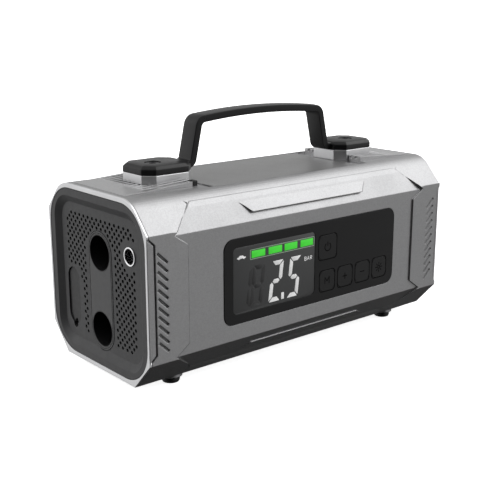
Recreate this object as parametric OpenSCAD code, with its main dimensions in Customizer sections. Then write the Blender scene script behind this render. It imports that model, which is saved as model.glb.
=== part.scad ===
// Jump starter pack with an air pump, a lamp, two 12 volt sockets and a jump-lead outlet.
// Millimetres. X runs along the body with the socket end at -X, the display faces -Y and
// Z points up. The origin lies under the middle of the body, on the surface it stands on.

/* [Body] */
// Length of the body over both end rings
body_l = 246; // [242:2:254]
// Depth of the body at its collars
body_w = 106; // [105:0.5:109]
// Height of the body without its feet
body_h = 108; // [107:0.5:111]
// Height of the feet
foot_h = 6; // [6:0.5:10]
// How far the waist lies behind the collars
waist_step = 1.3; // [0.9:0.1:1.6]
// Wall thickness of the housing at the waist
wall = 2.6; // [2.2:0.1:2.8]
// Grip slots in each collar face
slot_count = 11; // [5:2:13]
// Distance between grip slots
slot_pitch = 5.1; // [4:0.1:5.4]
// Grooves between the ribs of each top pad
groove_count = 11; // [7:2:13]

/* [Handle] */
// Height of the handle above the body
handle_rise = 40.3; // [37:0.5:60]
// Distance between the two handle screws
handle_span = 163; // [159:1:166]
// Width of the handle strap
strap_w = 13; // [10:0.5:16]
// Thickness of the strap at its edges
strap_t = 2.7; // [2:0.1:3]
// Height of the crown on the outside of the strap
strap_crown = 2.1; // [0.8:0.1:2.2]

/* [Display and keys] */
// Length of the display panel
panel_l = 146.4; // [145:0.2:150]
// Height of the display panel
panel_h = 51.8; // [51:0.2:54]
// Length of the liquid-crystal window
lcd_l = 66; // [60:0.5:67]
// Height of the liquid-crystal window
lcd_h = 40.6; // [36:0.2:42]
// Width of the four small keys
key_w = 13.2; // [11:0.1:13.6]
// Width of the power key
power_w = 15.6; // [13:0.1:16]

/* [Outlets] */
// Bore of the 12 volt sockets
socket_d = 21; // [20.9:0.05:21.2]
// Distance between the two socket centres
socket_pitch = 46.3; // [44:0.1:47]
// Bore of the air outlet
outlet_d = 8.8; // [7:0.1:8.8]
// Diameter of the vent holes
vent_d = 2.1; // [1.6:0.1:2.4]
// Distance between neighbouring rows of vent holes
vent_step = 2.375; // [2.3:0.025:2.375]

/* [Air pump] */
// Bore of the pump cylinder
pump_bore = 21; // [18:0.5:21]
// Radius of the crank, half the piston's stroke
crank_r = 7; // [5:0.5:7]

/* [Hidden] */
$fn = 48;

// Outline of the housing. Heights are measured from the bottom of the body.
end_x = body_l / 2;
side_y = body_w / 2;
face_y = side_y - waist_step;
mid_z = body_h / 2;
ring_t = 1.5;
shell_x = end_x - ring_t;
floor_t = 3;
roof_z = body_h - 4.8;
shoulder_run = 12.8;
shoulder_rise = 5.3;
shoulder_r = (shoulder_run * shoulder_run + shoulder_rise * shoulder_rise) / (2 * shoulder_rise);
shoulder_angle = asin(shoulder_run / shoulder_r);
top_flat_y = side_y - 11 - shoulder_run;
collar = concat(
    [[side_y - 15.6, 0], [side_y, 16.9], [side_y, body_h - 17.6]],
    [for (i = [0 : 8]) let (a = shoulder_angle * (1 - i / 8))
        [top_flat_y + shoulder_r * sin(a), body_h - shoulder_r + shoulder_r * cos(a)]]
);
waist = [
    [side_y - 23, 4], [side_y - 15, 0.9], [side_y - 8.8, 6.9], [face_y, 17.75],
    [face_y, body_h - 19.9], [side_y - 8.6, body_h - 7.5], [side_y - 11.1, body_h - 4.7],
    [side_y - 19, body_h - 6]
];
cavity = [
    [side_y - 16.8, floor_t], [face_y - wall, 18.6], [face_y - wall, body_h - 20.6],
    [side_y - 12.5, body_h - 9.4], [side_y - 24.5, roof_z]
];
cavity_x = end_x - 13;

// The waist seen from the front: a field with a notch point in each collar.
notch_x = end_x - 18.4;
waist_x = end_x - 27.8;
low_cross_z = 8.75;
high_cross_z = body_h - 8.9;
low_notch_z = 18;
high_notch_z = body_h - 19.7;
tongue_x = 46.4;
tongue_tip_x = 53.5;

// End caps, each a rounded plate with a dished face
open_y = side_y - 3.7;
open_z = mid_z - 4.7;
open_r = 21;
cap_y = side_y - 2.1;
cap_z = mid_z - 3.1;
cap_r = 23;
cap_face_x = end_x - 0.3;
dish_depth = 2.8;
dish_x = cap_face_x - dish_depth;
cap_back_x = dish_x - 2.5;
skirt_x = end_x - 11;
dish_corner_y = side_y - 21.8;
dish_corner_z = mid_z - 22.8;
dish_r_out = 15.2;
dish_r_in = 10.9;

// Top of the body
plate_x = 60.8;
plate_y = 33;
plate_top_z = body_h - 0.8;
plate_t = 2;
pad_x0 = 68.6;
pad_x1 = end_x - 3.8;
pad_y = 27.2;
pad_seat_z = body_h - 1.6;
pad_high_z = body_h + 2.7;
pad_low_z = body_h + 0.2;
groove_z = body_h + 0.9;
groove_w = 2.3;
plug_l = 3.9;
plug_w = 5;

// Handle and its blocks
screw_x = handle_span / 2;
block_x = screw_x - 3;
block_hx = 17.8;
block_hy = 15.9;
block_cut = 6.2;
block_h = 7.2;
flange_z = plate_top_z + block_h;
flange_t = 5.3;
bend_x = screw_x - 25.1;
bar_x = bend_x - 6.9;
bar_z = body_h + handle_rise - strap_t - strap_crown;
bar_sag = 2.7;
bar_r = (bar_x * bar_x + bar_sag * bar_sag) / (2 * bar_sag);
bar_angle = asin(bar_x / bar_r);
leg_angle = atan2(bar_z - bar_sag - flange_z, bend_x - bar_x);

// Socket end. The plate, outlet and flap lie in the dished face of the left cap.
plate_z = 47.5;
plate_hw = 12.85;
plate_hh = socket_pitch / 2 + plate_hw + 0.3;
upper_z = plate_z + socket_pitch / 2;
lower_z = plate_z - socket_pitch / 2;
sleeve_r = socket_d / 2 + 1.8;
sleeve_end_x = cap_back_x - 40.4;
sleeve_stop = 2;
spout_t = 0.4;
outlet_y = -31.9;
outlet_z = 75;
outlet_r = 5.5;
flap_y = 31.4;
flap_z = 37.8;
flap_hw = 6.7;
flap_hh = 17.9;
flap_face_x = dish_x - 0.9;
flap_t = 2.2;
flap_gap = 0.25;
pin_x = -flap_face_x + flap_t / 2;
pin_z = flap_z + flap_hh - 7.3;
pin_r = 0.48;
pin_reach = flap_hw + 1.3;
swing_r = norm([flap_t / 2, flap_z + flap_hh - pin_z]);
vent_z = mid_z + 0.1;

// Display side. Depths are measured from the front face of the waist.
panel_y = -face_y - 0.3;
panel_t = 1.8;
panel_x = 3.65;
panel_z = 53.35;
lcd_x = -29.9;
lcd_z = 53.75;
lcd_bezel = 1;
key_z = 40.25;
key_hh = 6.75;
key_x = 14.3;
key_pitch = 16.3;
power_z = 62.35;
key_gap = 0.3;
board_y = panel_y + 7.4;
board_t = 1.6;
switch_h = 1.8;
flange_y = panel_y + 3.1;

// Battery of eight cells that lie front to back, and the board above them
cell_r = 13;
cell_l = 65;
cell_pitch = 27;
cell_low_z = 18;
tray_y = 26;
tray_t = 4;
tray_hx = 55.5;
tray_top_z = 60;
main_z = 66;
main_hx = 52;
main_hy = 34;
post_x = 46;

// Air pump: the motor and the crank gear turn about axes along Y.
pump_x = 84;
motor_z = 22;
motor_r = 15.5;
gear_module = 0.8;
pinion_teeth = 10;
crank_teeth = 40;
crank_z = motor_z + gear_module * (pinion_teeth + crank_teeth) / 2;
frame_y = -5;
frame_t = 3;
gear_y = frame_y - 7;
cylinder_y = -18;
pump_screw_y = -20;
shelf_z = 60;
shelf_t = 2.5;
cylinder_top_z = 90;
head_top_z = 96;
port_z = cylinder_top_z + 1.2;
piston_z = 66;
piston_h = 7;

// Lamp in the right end cap
lamp_r = 26;
lamp_z = mid_z;

// Screws
foot_x = 93;
foot_y = 30;
foot_r = 5.5;
body_screw_x = 60.5;
body_screw_zs = [8, body_h - 9.5];
display_screws = [[panel_x - panel_l / 2 + 3, panel_z - panel_h / 2 + 2.6],
                  [panel_x - panel_l / 2 + 3, panel_z + panel_h / 2 - 2.6],
                  [panel_x + panel_l / 2 - 3, panel_z - panel_h / 2 + 2.6],
                  [panel_x + panel_l / 2 - 3, panel_z + panel_h / 2 - 2.6]];

// ---- Helpers ----

// Raises what is drawn from the bottom of the body to its height above the ground.
module lift() { translate([0, 0, foot_h]) children(); }

// Extrudes an outline given in (Y, Z) along X.
module along_x(x0, x1) { translate([x0, 0, 0]) rotate([90, 0, 90]) linear_extrude(x1 - x0) children(); }

// Extrudes an outline given in (X, Z) along Y.
module along_y(y0, y1) { translate([0, y1, 0]) rotate([90, 0, 0]) linear_extrude(y1 - y0) children(); }

// Extrudes an outline given in (X, Y) along Z.
module along_z(z0, z1) { translate([0, 0, z0]) linear_extrude(z1 - z0) children(); }

module rod_x(r, x0, x1, y, z) { translate([x0, y, z]) rotate([0, 90, 0]) cylinder(r = r, h = x1 - x0); }

module rod_y(r, y0, y1, x, z) { translate([x, y0, z]) rotate([-90, 0, 0]) cylinder(r = r, h = y1 - y0); }

module rod_z(r, z0, z1, x, y) { translate([x, y, z0]) cylinder(r = r, h = z1 - z0); }

// A box between two opposite corners.
module box(a, b) { translate(a) cube(b - a); }

module both_x() {
    children();
    mirror([1, 0, 0]) children();
}

module both_y() {
    children();
    mirror([0, 1, 0]) children();
}

// A rounded rectangle given by its half sizes.
module rounded(hx, hy, r) {
    square([2 * hx - 2 * r, 2 * hy], center = true);
    square([2 * hx, 2 * hy - 2 * r], center = true);
    for (sx = [-1, 1], sy = [-1, 1]) translate([sx * (hx - r), sy * (hy - r)]) circle(r);
}

// An upright slot with round ends, given by its half sizes.
module stadium(hw, hh) {
    square([2 * hw, 2 * (hh - hw)], center = true);
    for (s = [-1, 1]) translate([0, s * (hh - hw)]) circle(hw);
}

// An eight-sided outline: a rectangle with its corners cut off.
module octagon(hx, hy, cut) {
    polygon([
        [hx, -hy + cut], [hx, hy - cut], [hx - cut, hy], [-hx + cut, hy],
        [-hx, hy - cut], [-hx, -hy + cut], [-hx + cut, -hy], [hx - cut, -hy]
    ]);
}

// Half of a cross-section on the +Y side, closed along the plane y = from_y.
module half_outline(points, from_y = 0) {
    polygon(concat([[from_y, points[0][1]]], points, [[from_y, points[len(points) - 1][1]]]));
}

// The whole cross-section, both sides.
module full_outline(points) {
    n = len(points) - 1;
    polygon(concat(points, [for (i = [n : -1 : 0]) [-points[i][0], points[i][1]]]));
}

// ---- Housing ----

// The field of the waist seen from the front.
module waist_field() {
    half = [
        [end_x - 37.1, body_h - 4.5], [notch_x, high_notch_z], [waist_x, high_notch_z - 6.2],
        [waist_x, low_notch_z + 6.6], [notch_x, low_notch_z], [end_x - 32, low_cross_z], [end_x - 37, 2]
    ];
    full_outline(half);
}

// What the waist takes off the collar profile. The tongues over and under the display stay.
module waist_cut() {
    half = [
        [tongue_tip_x, high_cross_z], [end_x - 31.7, high_cross_z], [notch_x, high_notch_z],
        [waist_x, high_notch_z - 6.2], [waist_x, low_notch_z + 6.6], [notch_x, low_notch_z],
        [end_x - 32, low_cross_z], [tongue_tip_x, low_cross_z]
    ];
    difference() {
        full_outline(half);
        polygon([
            [-tongue_tip_x, high_cross_z + 1], [-tongue_tip_x, high_cross_z],
            [-tongue_x, high_cross_z - 5.9], [tongue_x, high_cross_z - 5.9],
            [tongue_tip_x, high_cross_z], [tongue_tip_x, high_cross_z + 1]
        ]);
        polygon([
            [-tongue_tip_x, low_cross_z - 1], [-tongue_tip_x, low_cross_z], [-tongue_x, low_cross_z + 3.55],
            [tongue_x, low_cross_z + 3.55], [tongue_tip_x, low_cross_z], [tongue_tip_x, low_cross_z - 1]
        ]);
    }
}

// One slanted grip slot in a collar face at +Y, its upper flank steep and its lower one flat.
module grip_slot(z) {
    slot_x = end_x - 10;
    translate([-slot_x, 0, z]) rotate([0, 43.6, 0])
        along_x(-4.42, 4.42)
            polygon([[side_y + 0.05, -0.95], [side_y + 0.05, 0.95], [side_y - 1.3, 0.6]]);
}

// The faceted strip of the left collar's top bevel that runs beside the waist.
module bevel_band_cut() {
    start = [-(end_x - 16.4), side_y, body_h - 17.6];
    end = [-(end_x - 30.7), side_y - 11.72, body_h - 4.5];
    run = (end - start) / norm(end - start);
    out = [0, 12.3, 11] / norm([12.3, 11]);
    side = cross(out, run);
    band_w = 4.4;
    tilt = 6;
    multmatrix([
        [run[0], side[0], out[0], start[0]],
        [run[1], side[1], out[1], start[1]],
        [run[2], side[2], out[2], start[2]],
        [0, 0, 0, 1]
    ])
        along_x(-1.5, norm(end - start) + 2)
            polygon([[0, 0], [band_w, -band_w * tan(tilt)], [band_w, 3], [0, 3]]);
}

// The matching strip of the collar's upright face.
module face_band_cut() {
    along_z(16.9, body_h - 17.6)
        polygon([
            [-(end_x - 15.5), side_y + 0.01], [-(end_x - 29), side_y + 0.01],
            [-(end_x - 29), side_y - 0.3]
        ]);
}

// Seats in the roof for the centre plate, the rib pads and the handle blocks, and the channels
// between the plate and the pads.
module roof_seats() {
    box([-plate_x, -1, plate_top_z - plate_t], [plate_x, plate_y, body_h + 1]);
    both_x() {
        along_z(pad_seat_z, body_h + 1) difference() {
            union() {
                translate([pad_x0 - 0.1, -1]) square([pad_x1 - pad_x0 + 0.1, pad_y + 1]);
                translate([plate_x - 0.1, -1]) square([pad_x0 - plate_x + 0.1, plate_y + 1]);
            }
            translate([block_x, 0]) octagon(block_hx + 0.3, block_hy + 0.3, block_cut);
        }
        along_z(plate_top_z, body_h + 1)
            translate([block_x, 0]) octagon(block_hx + 0.3, block_hy + 0.3, block_cut);
        rod_z(2.8, roof_z - 5, body_h + 1, screw_x, 0);
    }
}

// One half of the housing, drawn on the +Y side and split along the plane y = 0.
module half_shell(thread_r, counterbore) {
    difference() {
        union() {
            difference() {
                union() {
                    difference() {
                        along_x(-shell_x, shell_x) half_outline(collar);
                        along_y(36, side_y + 1) waist_cut();
                    }
                    intersection() {
                        along_x(-notch_x - 1, notch_x + 1) half_outline(waist);
                        along_y(0, side_y) waist_field();
                    }
                    both_x() rod_z(7, -2, 1, foot_x, foot_y);
                }
                along_x(-cavity_x, cavity_x) half_outline(cavity, -1);
                both_x() along_x(cavity_x - 0.1, end_x) translate([0, mid_z]) rounded(open_y, open_z, open_r);
            }
            both_x() rod_z(4, floor_t - 1, 6.4, foot_x, foot_y);
            for (x = [-body_screw_x, body_screw_x], z = body_screw_zs) rod_y(4, 0, 39, x, z);
        }
        both_x() for (i = [0 : slot_count - 1])
            grip_slot(mid_z - 2.3 + slot_pitch * (i - (slot_count - 1) / 2));
        both_x() bevel_band_cut();
        both_x() face_band_cut();
        roof_seats();
        both_x() rod_z(1.5, -3, 7, foot_x, foot_y);
        // Catches for the lugs of the end caps
        both_x() for (s = [-1, 1]) translate([0, 0, mid_z + s * (open_z + 0.35)])
            box([skirt_x + 1, -1, -0.55], [skirt_x + 3.4, 6.3, 0.55]);
        for (x = [-body_screw_x, body_screw_x], z = body_screw_zs) {
            rod_y(thread_r, -1, 36, x, z);
            if (counterbore) rod_y(3.2, 33, side_y, x, z);
        }
        // Pocket of the end clip at the left end
        along_y(side_y - 2, side_y + 1) clip_outline(1.1);
        rod_y(1.25, side_y - 3.3, side_y - 1, -(end_x - 3), mid_z);
        // Chamfer at the right end
        end_chamfer();
    }
}

// The end clip seen from the side, grown by a gap all round but for its outer end.
module clip_outline(gap) {
    x0 = -(end_x - 4.4) + gap;
    slope = 3.8 / 4.2;
    grow = gap * (sqrt(1 + slope * slope) - slope);
    z0 = 22.7 - grow;
    z1 = body_h - 23.2 + grow;
    run = 4.2 + gap;
    polygon([[x0, z0], [x0, z1], [x0 - run, z1 + run * slope], [x0 - run, z0 - run * slope]]);
}

// The shallow chamfer at the right end of each side.
module end_chamfer() {
    intersection() {
        along_z(18, body_h - 19)
            polygon([[end_x - 3.7, side_y + 0.01], [end_x + 0.1, side_y + 0.01], [end_x + 0.1, side_y - 0.8]]);
        along_y(side_y - 2, side_y + 1)
            polygon([[end_x - 3.8, 23], [end_x - 3.8, body_h - 24], [end_x + 0.2, body_h - 20], [end_x + 0.2, 19]]);
    }
}

module rear_housing() {
    color("#8b8b8b") lift() half_shell(1.6, true);
}

module front_housing() {
    color("#8b8b8b") lift() difference() {
        union() {
            mirror([0, 1, 0]) half_shell(1.45, false);
            for (p = display_screws) rod_y(2.4, -face_y + 1, board_y, p[0], p[1]);
        }
        along_y(-side_y, panel_y + panel_t) translate([panel_x, panel_z])
            rounded(panel_l / 2 + 0.15, panel_h / 2 + 0.15, 6.6);
        along_y(-side_y, -face_y + wall + 1) translate([lcd_x, lcd_z])
            rounded(lcd_l / 2 + lcd_bezel + 0.3, lcd_h / 2 + lcd_bezel + 0.3, 3);
        for (i = [0 : 3]) key_hole(key_x + i * key_pitch, key_z, key_w / 2, key_hh);
        key_hole(key_x, power_z, power_w / 2, power_w / 2);
        for (p = display_screws) rod_y(1.1, -face_y + 1.9, board_y + 1, p[0], p[1]);
        for (x = [pump_x - 14, pump_x + 14]) rod_z(1.35, 0.8, 4, x, pump_screw_y);
    }
}

// An opening for a key through the front wall.
module key_hole(x, z, hw, hh) {
    along_y(-side_y, -face_y + wall + 1) translate([x, z]) rounded(hw + key_gap, hh + key_gap, 3.8);
}

module end_ring(side) {
    color("#d0d0d0") lift() difference() {
        along_x(shell_x, end_x) full_outline(collar);
        along_x(shell_x - 1, end_x + 1) translate([0, mid_z]) rounded(cap_y + 0.2, cap_z + 0.3, cap_r + 0.2);
        if (side > 0) both_y() end_chamfer();
        if (side < 0) both_y()
            mirror([1, 0, 0]) along_y(side_y - 0.6, side_y + 1) clip_outline(0.1);
    }
}

module left_end_ring() { mirror([1, 0, 0]) end_ring(-1); }

module right_end_ring() { end_ring(1); }

// A grey tab let into the end of the left collar, with a lip over the ring and a peg behind.
module end_clip() {
    color("#8f8f8f") lift() {
        intersection() {
            along_y(side_y - 2, side_y) clip_outline(0);
            box([-shell_x, 0, 0], [0, side_y, body_h]);
        }
        along_y(side_y - 0.5, side_y) clip_outline(0);
        rod_y(1.2, side_y - 3.2, side_y - 1.9, -(end_x - 3), mid_z);
    }
}

module front_end_clip() { mirror([0, 1, 0]) end_clip(); }

module rear_end_clip() { end_clip(); }

// ---- Top ----

module top_plate() {
    hx = plate_x - 0.3;
    hy = plate_y - 0.3;
    color("#9a9a9a") lift() box([-hx, -hy, plate_top_z - plate_t], [hx, hy, plate_top_z]);
}

// A ribbed wedge at the right end; its grooves run along X and fade towards the end.
module rib_pad() {
    difference() {
        intersection() {
            along_y(-pad_y + 0.2, pad_y - 0.2)
                polygon([
                    [pad_x0 + 0.2, pad_seat_z], [pad_x1 - 0.2, pad_seat_z], [pad_x1 - 0.2, pad_low_z],
                    [pad_x0 + 3.4, pad_high_z], [pad_x0 + 0.2, pad_high_z]
                ]);
            along_z(pad_seat_z, pad_high_z) difference() {
                translate([pad_x0, -pad_y]) square([pad_x1 - pad_x0, 2 * pad_y]);
                translate([block_x, 0]) octagon(block_hx + 0.3, block_hy + 0.3, block_cut);
            }
        }
        for (i = [0 : groove_count - 1])
            translate([0, 2 * pad_y / (groove_count + 1) * (i - (groove_count - 1) / 2), 0])
                box([pad_x0 - 1, -groove_w / 2, groove_z], [pad_x1 + 1, groove_w / 2, pad_high_z + 1]);
    }
}

module left_rib_pad() {
    color("#a8a8a8") lift() difference() {
        mirror([1, 0, 0]) rib_pad();
        box([-pad_x0 - plug_l, -pad_y - 1, pad_seat_z - 1], [-pad_x0 + 1, -pad_y + plug_w + 0.4, pad_high_z + 1]);
    }
}

module right_rib_pad() {
    color("#a8a8a8") lift() difference() {
        rib_pad();
        box([block_x + 6, -block_hy - 4.2, groove_z - 1], [block_x + 14, -block_hy - 2.8, pad_high_z + 1]);
    }
}

// The rubber plug at the inner end of the left pad.
module rail_plug() {
    color("#161616") lift()
        box([-pad_x0 - plug_l + 0.2, -pad_y + 0.2, pad_seat_z], [-pad_x0 - 0.2, -pad_y + plug_w + 0.2, pad_high_z + 0.3]);
}

// ---- End caps ----

// The solid of an end cap, at the right end, before anything is let into it.
module cap_blank() {
    difference() {
        union() {
            along_x(shell_x, cap_face_x) translate([0, mid_z]) rounded(cap_y, cap_z, cap_r);
            along_x(skirt_x, shell_x) translate([0, mid_z]) rounded(open_y - 0.3, open_z - 0.3, open_r);
            for (s = [-1, 1]) translate([0, 0, mid_z + s * (open_z + 0.1)])
                box([skirt_x + 1.2, -6, -0.6], [skirt_x + 3.2, 6, 0.6]);
        }
        along_x(skirt_x - 1, cap_back_x) translate([0, mid_z]) rounded(open_y - 3.1, open_z - 3.1, open_r - 3);
        dish_cut();
    }
}

// The dish in the face: four cones at the corners and two tapered bars between them.
module dish_cut() {
    hy = dish_corner_y;
    hz = dish_corner_z;
    translate([0, 0, mid_z]) {
        for (sy = [-1, 1], sz = [-1, 1]) translate([dish_x, sy * hy, sz * hz]) rotate([0, 90, 0])
            cylinder(r1 = dish_r_in, r2 = dish_r_out, h = dish_depth);
        along_z(-hz, hz) dish_bar(hy);
        along_y(-hy, hy) dish_bar(hz);
    }
}

module dish_bar(h) {
    polygon([
        [dish_x, -h - dish_r_in], [dish_x, h + dish_r_in],
        [cap_face_x, h + dish_r_out], [cap_face_x, -h - dish_r_out]
    ]);
}

function near(y, z, y0, z0, r) = norm([y - y0, z - z0]) < r;

// Whether a vent hole would meet the socket plate, the air outlet or the flap.
function blocked(y, z) =
    (abs(y) < 15.5 && abs(z - plate_z) < 27.5)
    || near(y, z, 0, upper_z, 14.1)
    || near(y, z, 0, lower_z, 14.1)
    || near(y, z, outlet_y, outlet_z, 9.4)
    || (y > 20.5 && z < 50)
    || near(y, z, flap_y, 49, 9.9);

// The vent holes: 31 rows, every other one shifted by half a pitch, the first and last shorter.
module vent_holes() {
    for (row = [-15 : 15], col = [-15 : 15]) {
        y = col * vent_step;
        z = vent_z + row * vent_step;
        wanted = (row + col) % 2 == 0 && (abs(row) < 15 || abs(col) < 14);
        if (wanted && !blocked(y, z)) translate([y, z]) circle(d = vent_d, $fn = 24);
    }
}

module left_end_cap() {
    color("#4c4c4c") lift() difference() {
        mirror([1, 0, 0]) cap_blank();
        along_x(-dish_x - 1, -cap_back_x + 1) vent_holes();
        along_x(-cap_face_x, -dish_x + 1.4) translate([0, plate_z]) stadium(plate_hw, plate_hh);
        for (z = [upper_z, lower_z]) rod_x(socket_d / 2 + spout_t + 0.05, -cap_face_x, -cap_back_x + 1, 0, z);
        rod_x(outlet_r - 0.4, -cap_face_x, -cap_back_x + 1, outlet_y, outlet_z);
        along_x(-cap_face_x, -cap_back_x + 1) translate([flap_y, flap_z]) stadium(flap_hw, flap_hh);
        rod_x(2.4, -cap_face_x, -cap_back_x + 1, flap_y, flap_z - flap_hh - 0.3);
        // Seats of the hinge pin, open at the back
        rod_y(pin_r + 0.03, flap_y - pin_reach - 0.2, flap_y + pin_reach + 0.2, pin_x, pin_z);
        box([pin_x, flap_y - pin_reach - 0.2, pin_z - pin_r - 0.03],
            [-cap_back_x + 1, flap_y + pin_reach + 0.2, pin_z + pin_r + 0.03]);
    }
}

module right_end_cap() {
    slots = 12;
    color("#4c4c4c") lift() difference() {
        cap_blank();
        rod_x(lamp_r + 0.2, cap_back_x - 1, cap_face_x + 1, 0, lamp_z);
        for (i = [0 : slots - 1]) translate([0, 0, lamp_z]) rotate([360 / slots * (i + 0.5), 0, 0])
            along_x(cap_back_x - 1, dish_x + 1) translate([0, lamp_r + 7.5]) stadium(1.2, 4);
    }
}

// ---- Socket end ----

module socket_plate() {
    color("#565656") lift() difference() {
        along_x(-dish_x - 0.2, -dish_x + 1.4) translate([0, plate_z]) stadium(plate_hw - 0.35, plate_hh - 0.35);
        for (z = [upper_z, lower_z]) rod_x(socket_d / 2 + spout_t + 0.05, -dish_x - 1, -dish_x + 2, 0, z);
        along_x(-dish_x - 1, -dish_x + 0.2) translate([0, plate_z]) difference() {
            stadium(plate_hw - 1.1, plate_hh - 1.1);
            stadium(plate_hw - 1.5, plate_hh - 1.5);
        }
    }
}

// A 12 volt socket sleeve. Its spout lines the hole in the cap, a slot takes the side contact
// and a shoulder at the bottom of the bore stops the plug.
module socket_sleeve(z) {
    color("#1c1c1c") lift() difference() {
        union() {
            rod_x(sleeve_r, -cap_back_x, -sleeve_end_x + 2.5, 0, z);
            rod_x(sleeve_r + 1.2, -cap_back_x, -cap_back_x + 1.5, 0, z);
            rod_x(socket_d / 2 + spout_t, -dish_x - 0.2, -cap_back_x + 1, 0, z);
        }
        rod_x(socket_d / 2, -dish_x - 1, -sleeve_end_x - sleeve_stop, 0, z);
        rod_x(socket_d / 2 - 1.5, -sleeve_end_x - sleeve_stop - 1, -sleeve_end_x, 0, z);
        rod_x(2.1, -sleeve_end_x - 1, -sleeve_end_x + 4, 0, z);
        box([-cap_back_x + 4, -sleeve_r - 1, z - 2.2], [-cap_back_x + 28, -socket_d / 2 + 1.5, z + 2.2]);
    }
}

module upper_socket() { socket_sleeve(upper_z); }

module lower_socket() { socket_sleeve(lower_z); }

module centre_contacts() {
    color("#c9b46a") lift() for (z = [upper_z, lower_z]) {
        rod_x(4, -sleeve_end_x - 1.5, -sleeve_end_x, 0, z);
        rod_x(2, -sleeve_end_x - 0.5, -sleeve_end_x + 7, 0, z);
    }
}

module side_contacts() {
    color("#b8b8b8") lift() for (z = [upper_z, lower_z])
        box([-cap_back_x + 4.2, -socket_d / 2 - 0.9, z - 2], [-cap_back_x + 27.8, -socket_d / 2 - 0.1, z + 2]);
}

// The air outlet: a bright ring, its stem through the cap and a hose barb.
module air_outlet() {
    barb_x = -dish_x + 15.9;
    color("#dcdcdc") lift() difference() {
        union() {
            rod_x(outlet_r, -dish_x - 0.7, -dish_x, outlet_y, outlet_z);
            rod_x(outlet_r - 0.5, -dish_x - 0.5, barb_x, outlet_y, outlet_z);
            rod_x(1.8, barb_x - 0.5, barb_x + 7, outlet_y, outlet_z);
        }
        rod_x(outlet_d / 2, -dish_x - 2, barb_x - 2, outlet_y, outlet_z);
        rod_x(0.9, barb_x - 3, barb_x + 8, outlet_y, outlet_z);
    }
}

// The jump-lead outlet behind the flap: an open box with a rim that stops the flap and a round
// pocket that the end of the flap above the pin turns into.
module jump_socket() {
    x0 = -cap_back_x;
    x1 = x0 + 21;
    color("#262626") lift() difference() {
        box([x0, flap_y - 8.4, flap_z - 20], [x1, flap_y + 8.4, flap_z + 20]);
        along_x(x0 - 1, x0 + 0.8) translate([flap_y, flap_z]) stadium(flap_hw + 0.3, flap_hh + 0.3);
        along_x(x0 - 1, x1 - 4) translate([flap_y, flap_z - 1]) stadium(5.4, 15);
        rod_y(swing_r, flap_y - flap_hw, flap_y + flap_hw, pin_x, pin_z);
        for (s = [-1, 1]) rod_x(2.6, x1 - 5, x1 + 1, flap_y, flap_z - 1 + 8.5 * s);
    }
}

module jump_contacts() {
    x1 = -cap_back_x + 21;
    color("#c9b46a") lift() for (s = [-1, 1])
        rod_x(2.55, x1 - 13, x1 + 6, flap_y, flap_z - 1 + 8.5 * s);
}

// The flap turns about its pin, which crosses it near the top; its lower end has a notch for
// a finger.
module jump_flap() {
    color("#383838") lift() difference() {
        along_x(-flap_face_x, -flap_face_x + flap_t) translate([flap_y, flap_z])
            stadium(flap_hw - flap_gap, flap_hh - flap_gap);
        rod_y(pin_r + 0.1, flap_y - 8, flap_y + 8, pin_x, pin_z);
        rod_x(1.6, -flap_face_x - 1, -flap_face_x + 0.8, flap_y, flap_z - flap_hh + 1.2);
    }
}

module flap_pin() {
    color("#b0b0b0") lift() rod_y(pin_r, flap_y - pin_reach, flap_y + pin_reach, pin_x, pin_z);
}

// ---- Display side ----

module display_panel() {
    color("#1b1b1b") lift() difference() {
        along_y(panel_y, panel_y + panel_t) translate([panel_x, panel_z])
            rounded(panel_l / 2, panel_h / 2, 6.5);
        for (i = [0 : 3]) panel_hole(key_x + i * key_pitch, key_z, key_w / 2, key_hh);
        panel_hole(key_x, power_z, power_w / 2, power_w / 2);
        // Step round the liquid-crystal window
        along_y(panel_y - 1, panel_y + 0.2) translate([lcd_x, lcd_z]) rounded(lcd_l / 2, lcd_h / 2, 3);
    }
}

module panel_hole(x, z, hw, hh) {
    along_y(panel_y - 1, panel_y + panel_t + 1) translate([x, z]) rounded(hw + key_gap, hh + key_gap, 3.8);
}

module lcd_module() {
    color("#3a3d40") lift() {
        along_y(panel_y + panel_t + 0.2, board_y) translate([lcd_x, lcd_z])
            rounded(lcd_l / 2 + lcd_bezel, lcd_h / 2 + lcd_bezel, 2.5);
    }
}

// A key: its cap stands in the panel, a flange behind the wall holds it, a stem meets the switch.
module key(x, z, hw, hh) {
    color("#202020") lift() {
        along_y(panel_y, flange_y + 0.1) translate([x, z]) rounded(hw, hh, 3.5);
        along_y(flange_y, flange_y + 1.2) translate([x, z]) rounded(hw + 1, hh + 1, 4.5);
        rod_y(2.2, flange_y + 1.1, flange_y + 1.6, x, z);
    }
}

module power_key() { key(key_x, power_z, power_w / 2, power_w / 2); }

module mode_key() { key(key_x, key_z, key_w / 2, key_hh); }

module plus_key() { key(key_x + key_pitch, key_z, key_w / 2, key_hh); }

module minus_key() { key(key_x + 2 * key_pitch, key_z, key_w / 2, key_hh); }

module lamp_key() { key(key_x + 3 * key_pitch, key_z, key_w / 2, key_hh); }

module display_board() {
    color("#1f5a35") lift() difference() {
        along_y(board_y, board_y + board_t) translate([panel_x, panel_z])
            square([panel_l, panel_h], center = true);
        for (p = display_screws) rod_y(1.2, board_y - 1, board_y + 3, p[0], p[1]);
    }
}

module key_switches() {
    color("#2a2a2a") lift() {
        for (i = [0 : 3]) key_switch(key_x + i * key_pitch, key_z);
        key_switch(key_x, power_z);
    }
}

module key_switch(x, z) {
    box([x - 3, board_y - switch_h, z - 3], [x + 3, board_y, z + 3]);
    rod_y(1.6, board_y - switch_h - 0.3, board_y - 1, x, z);
}

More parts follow.
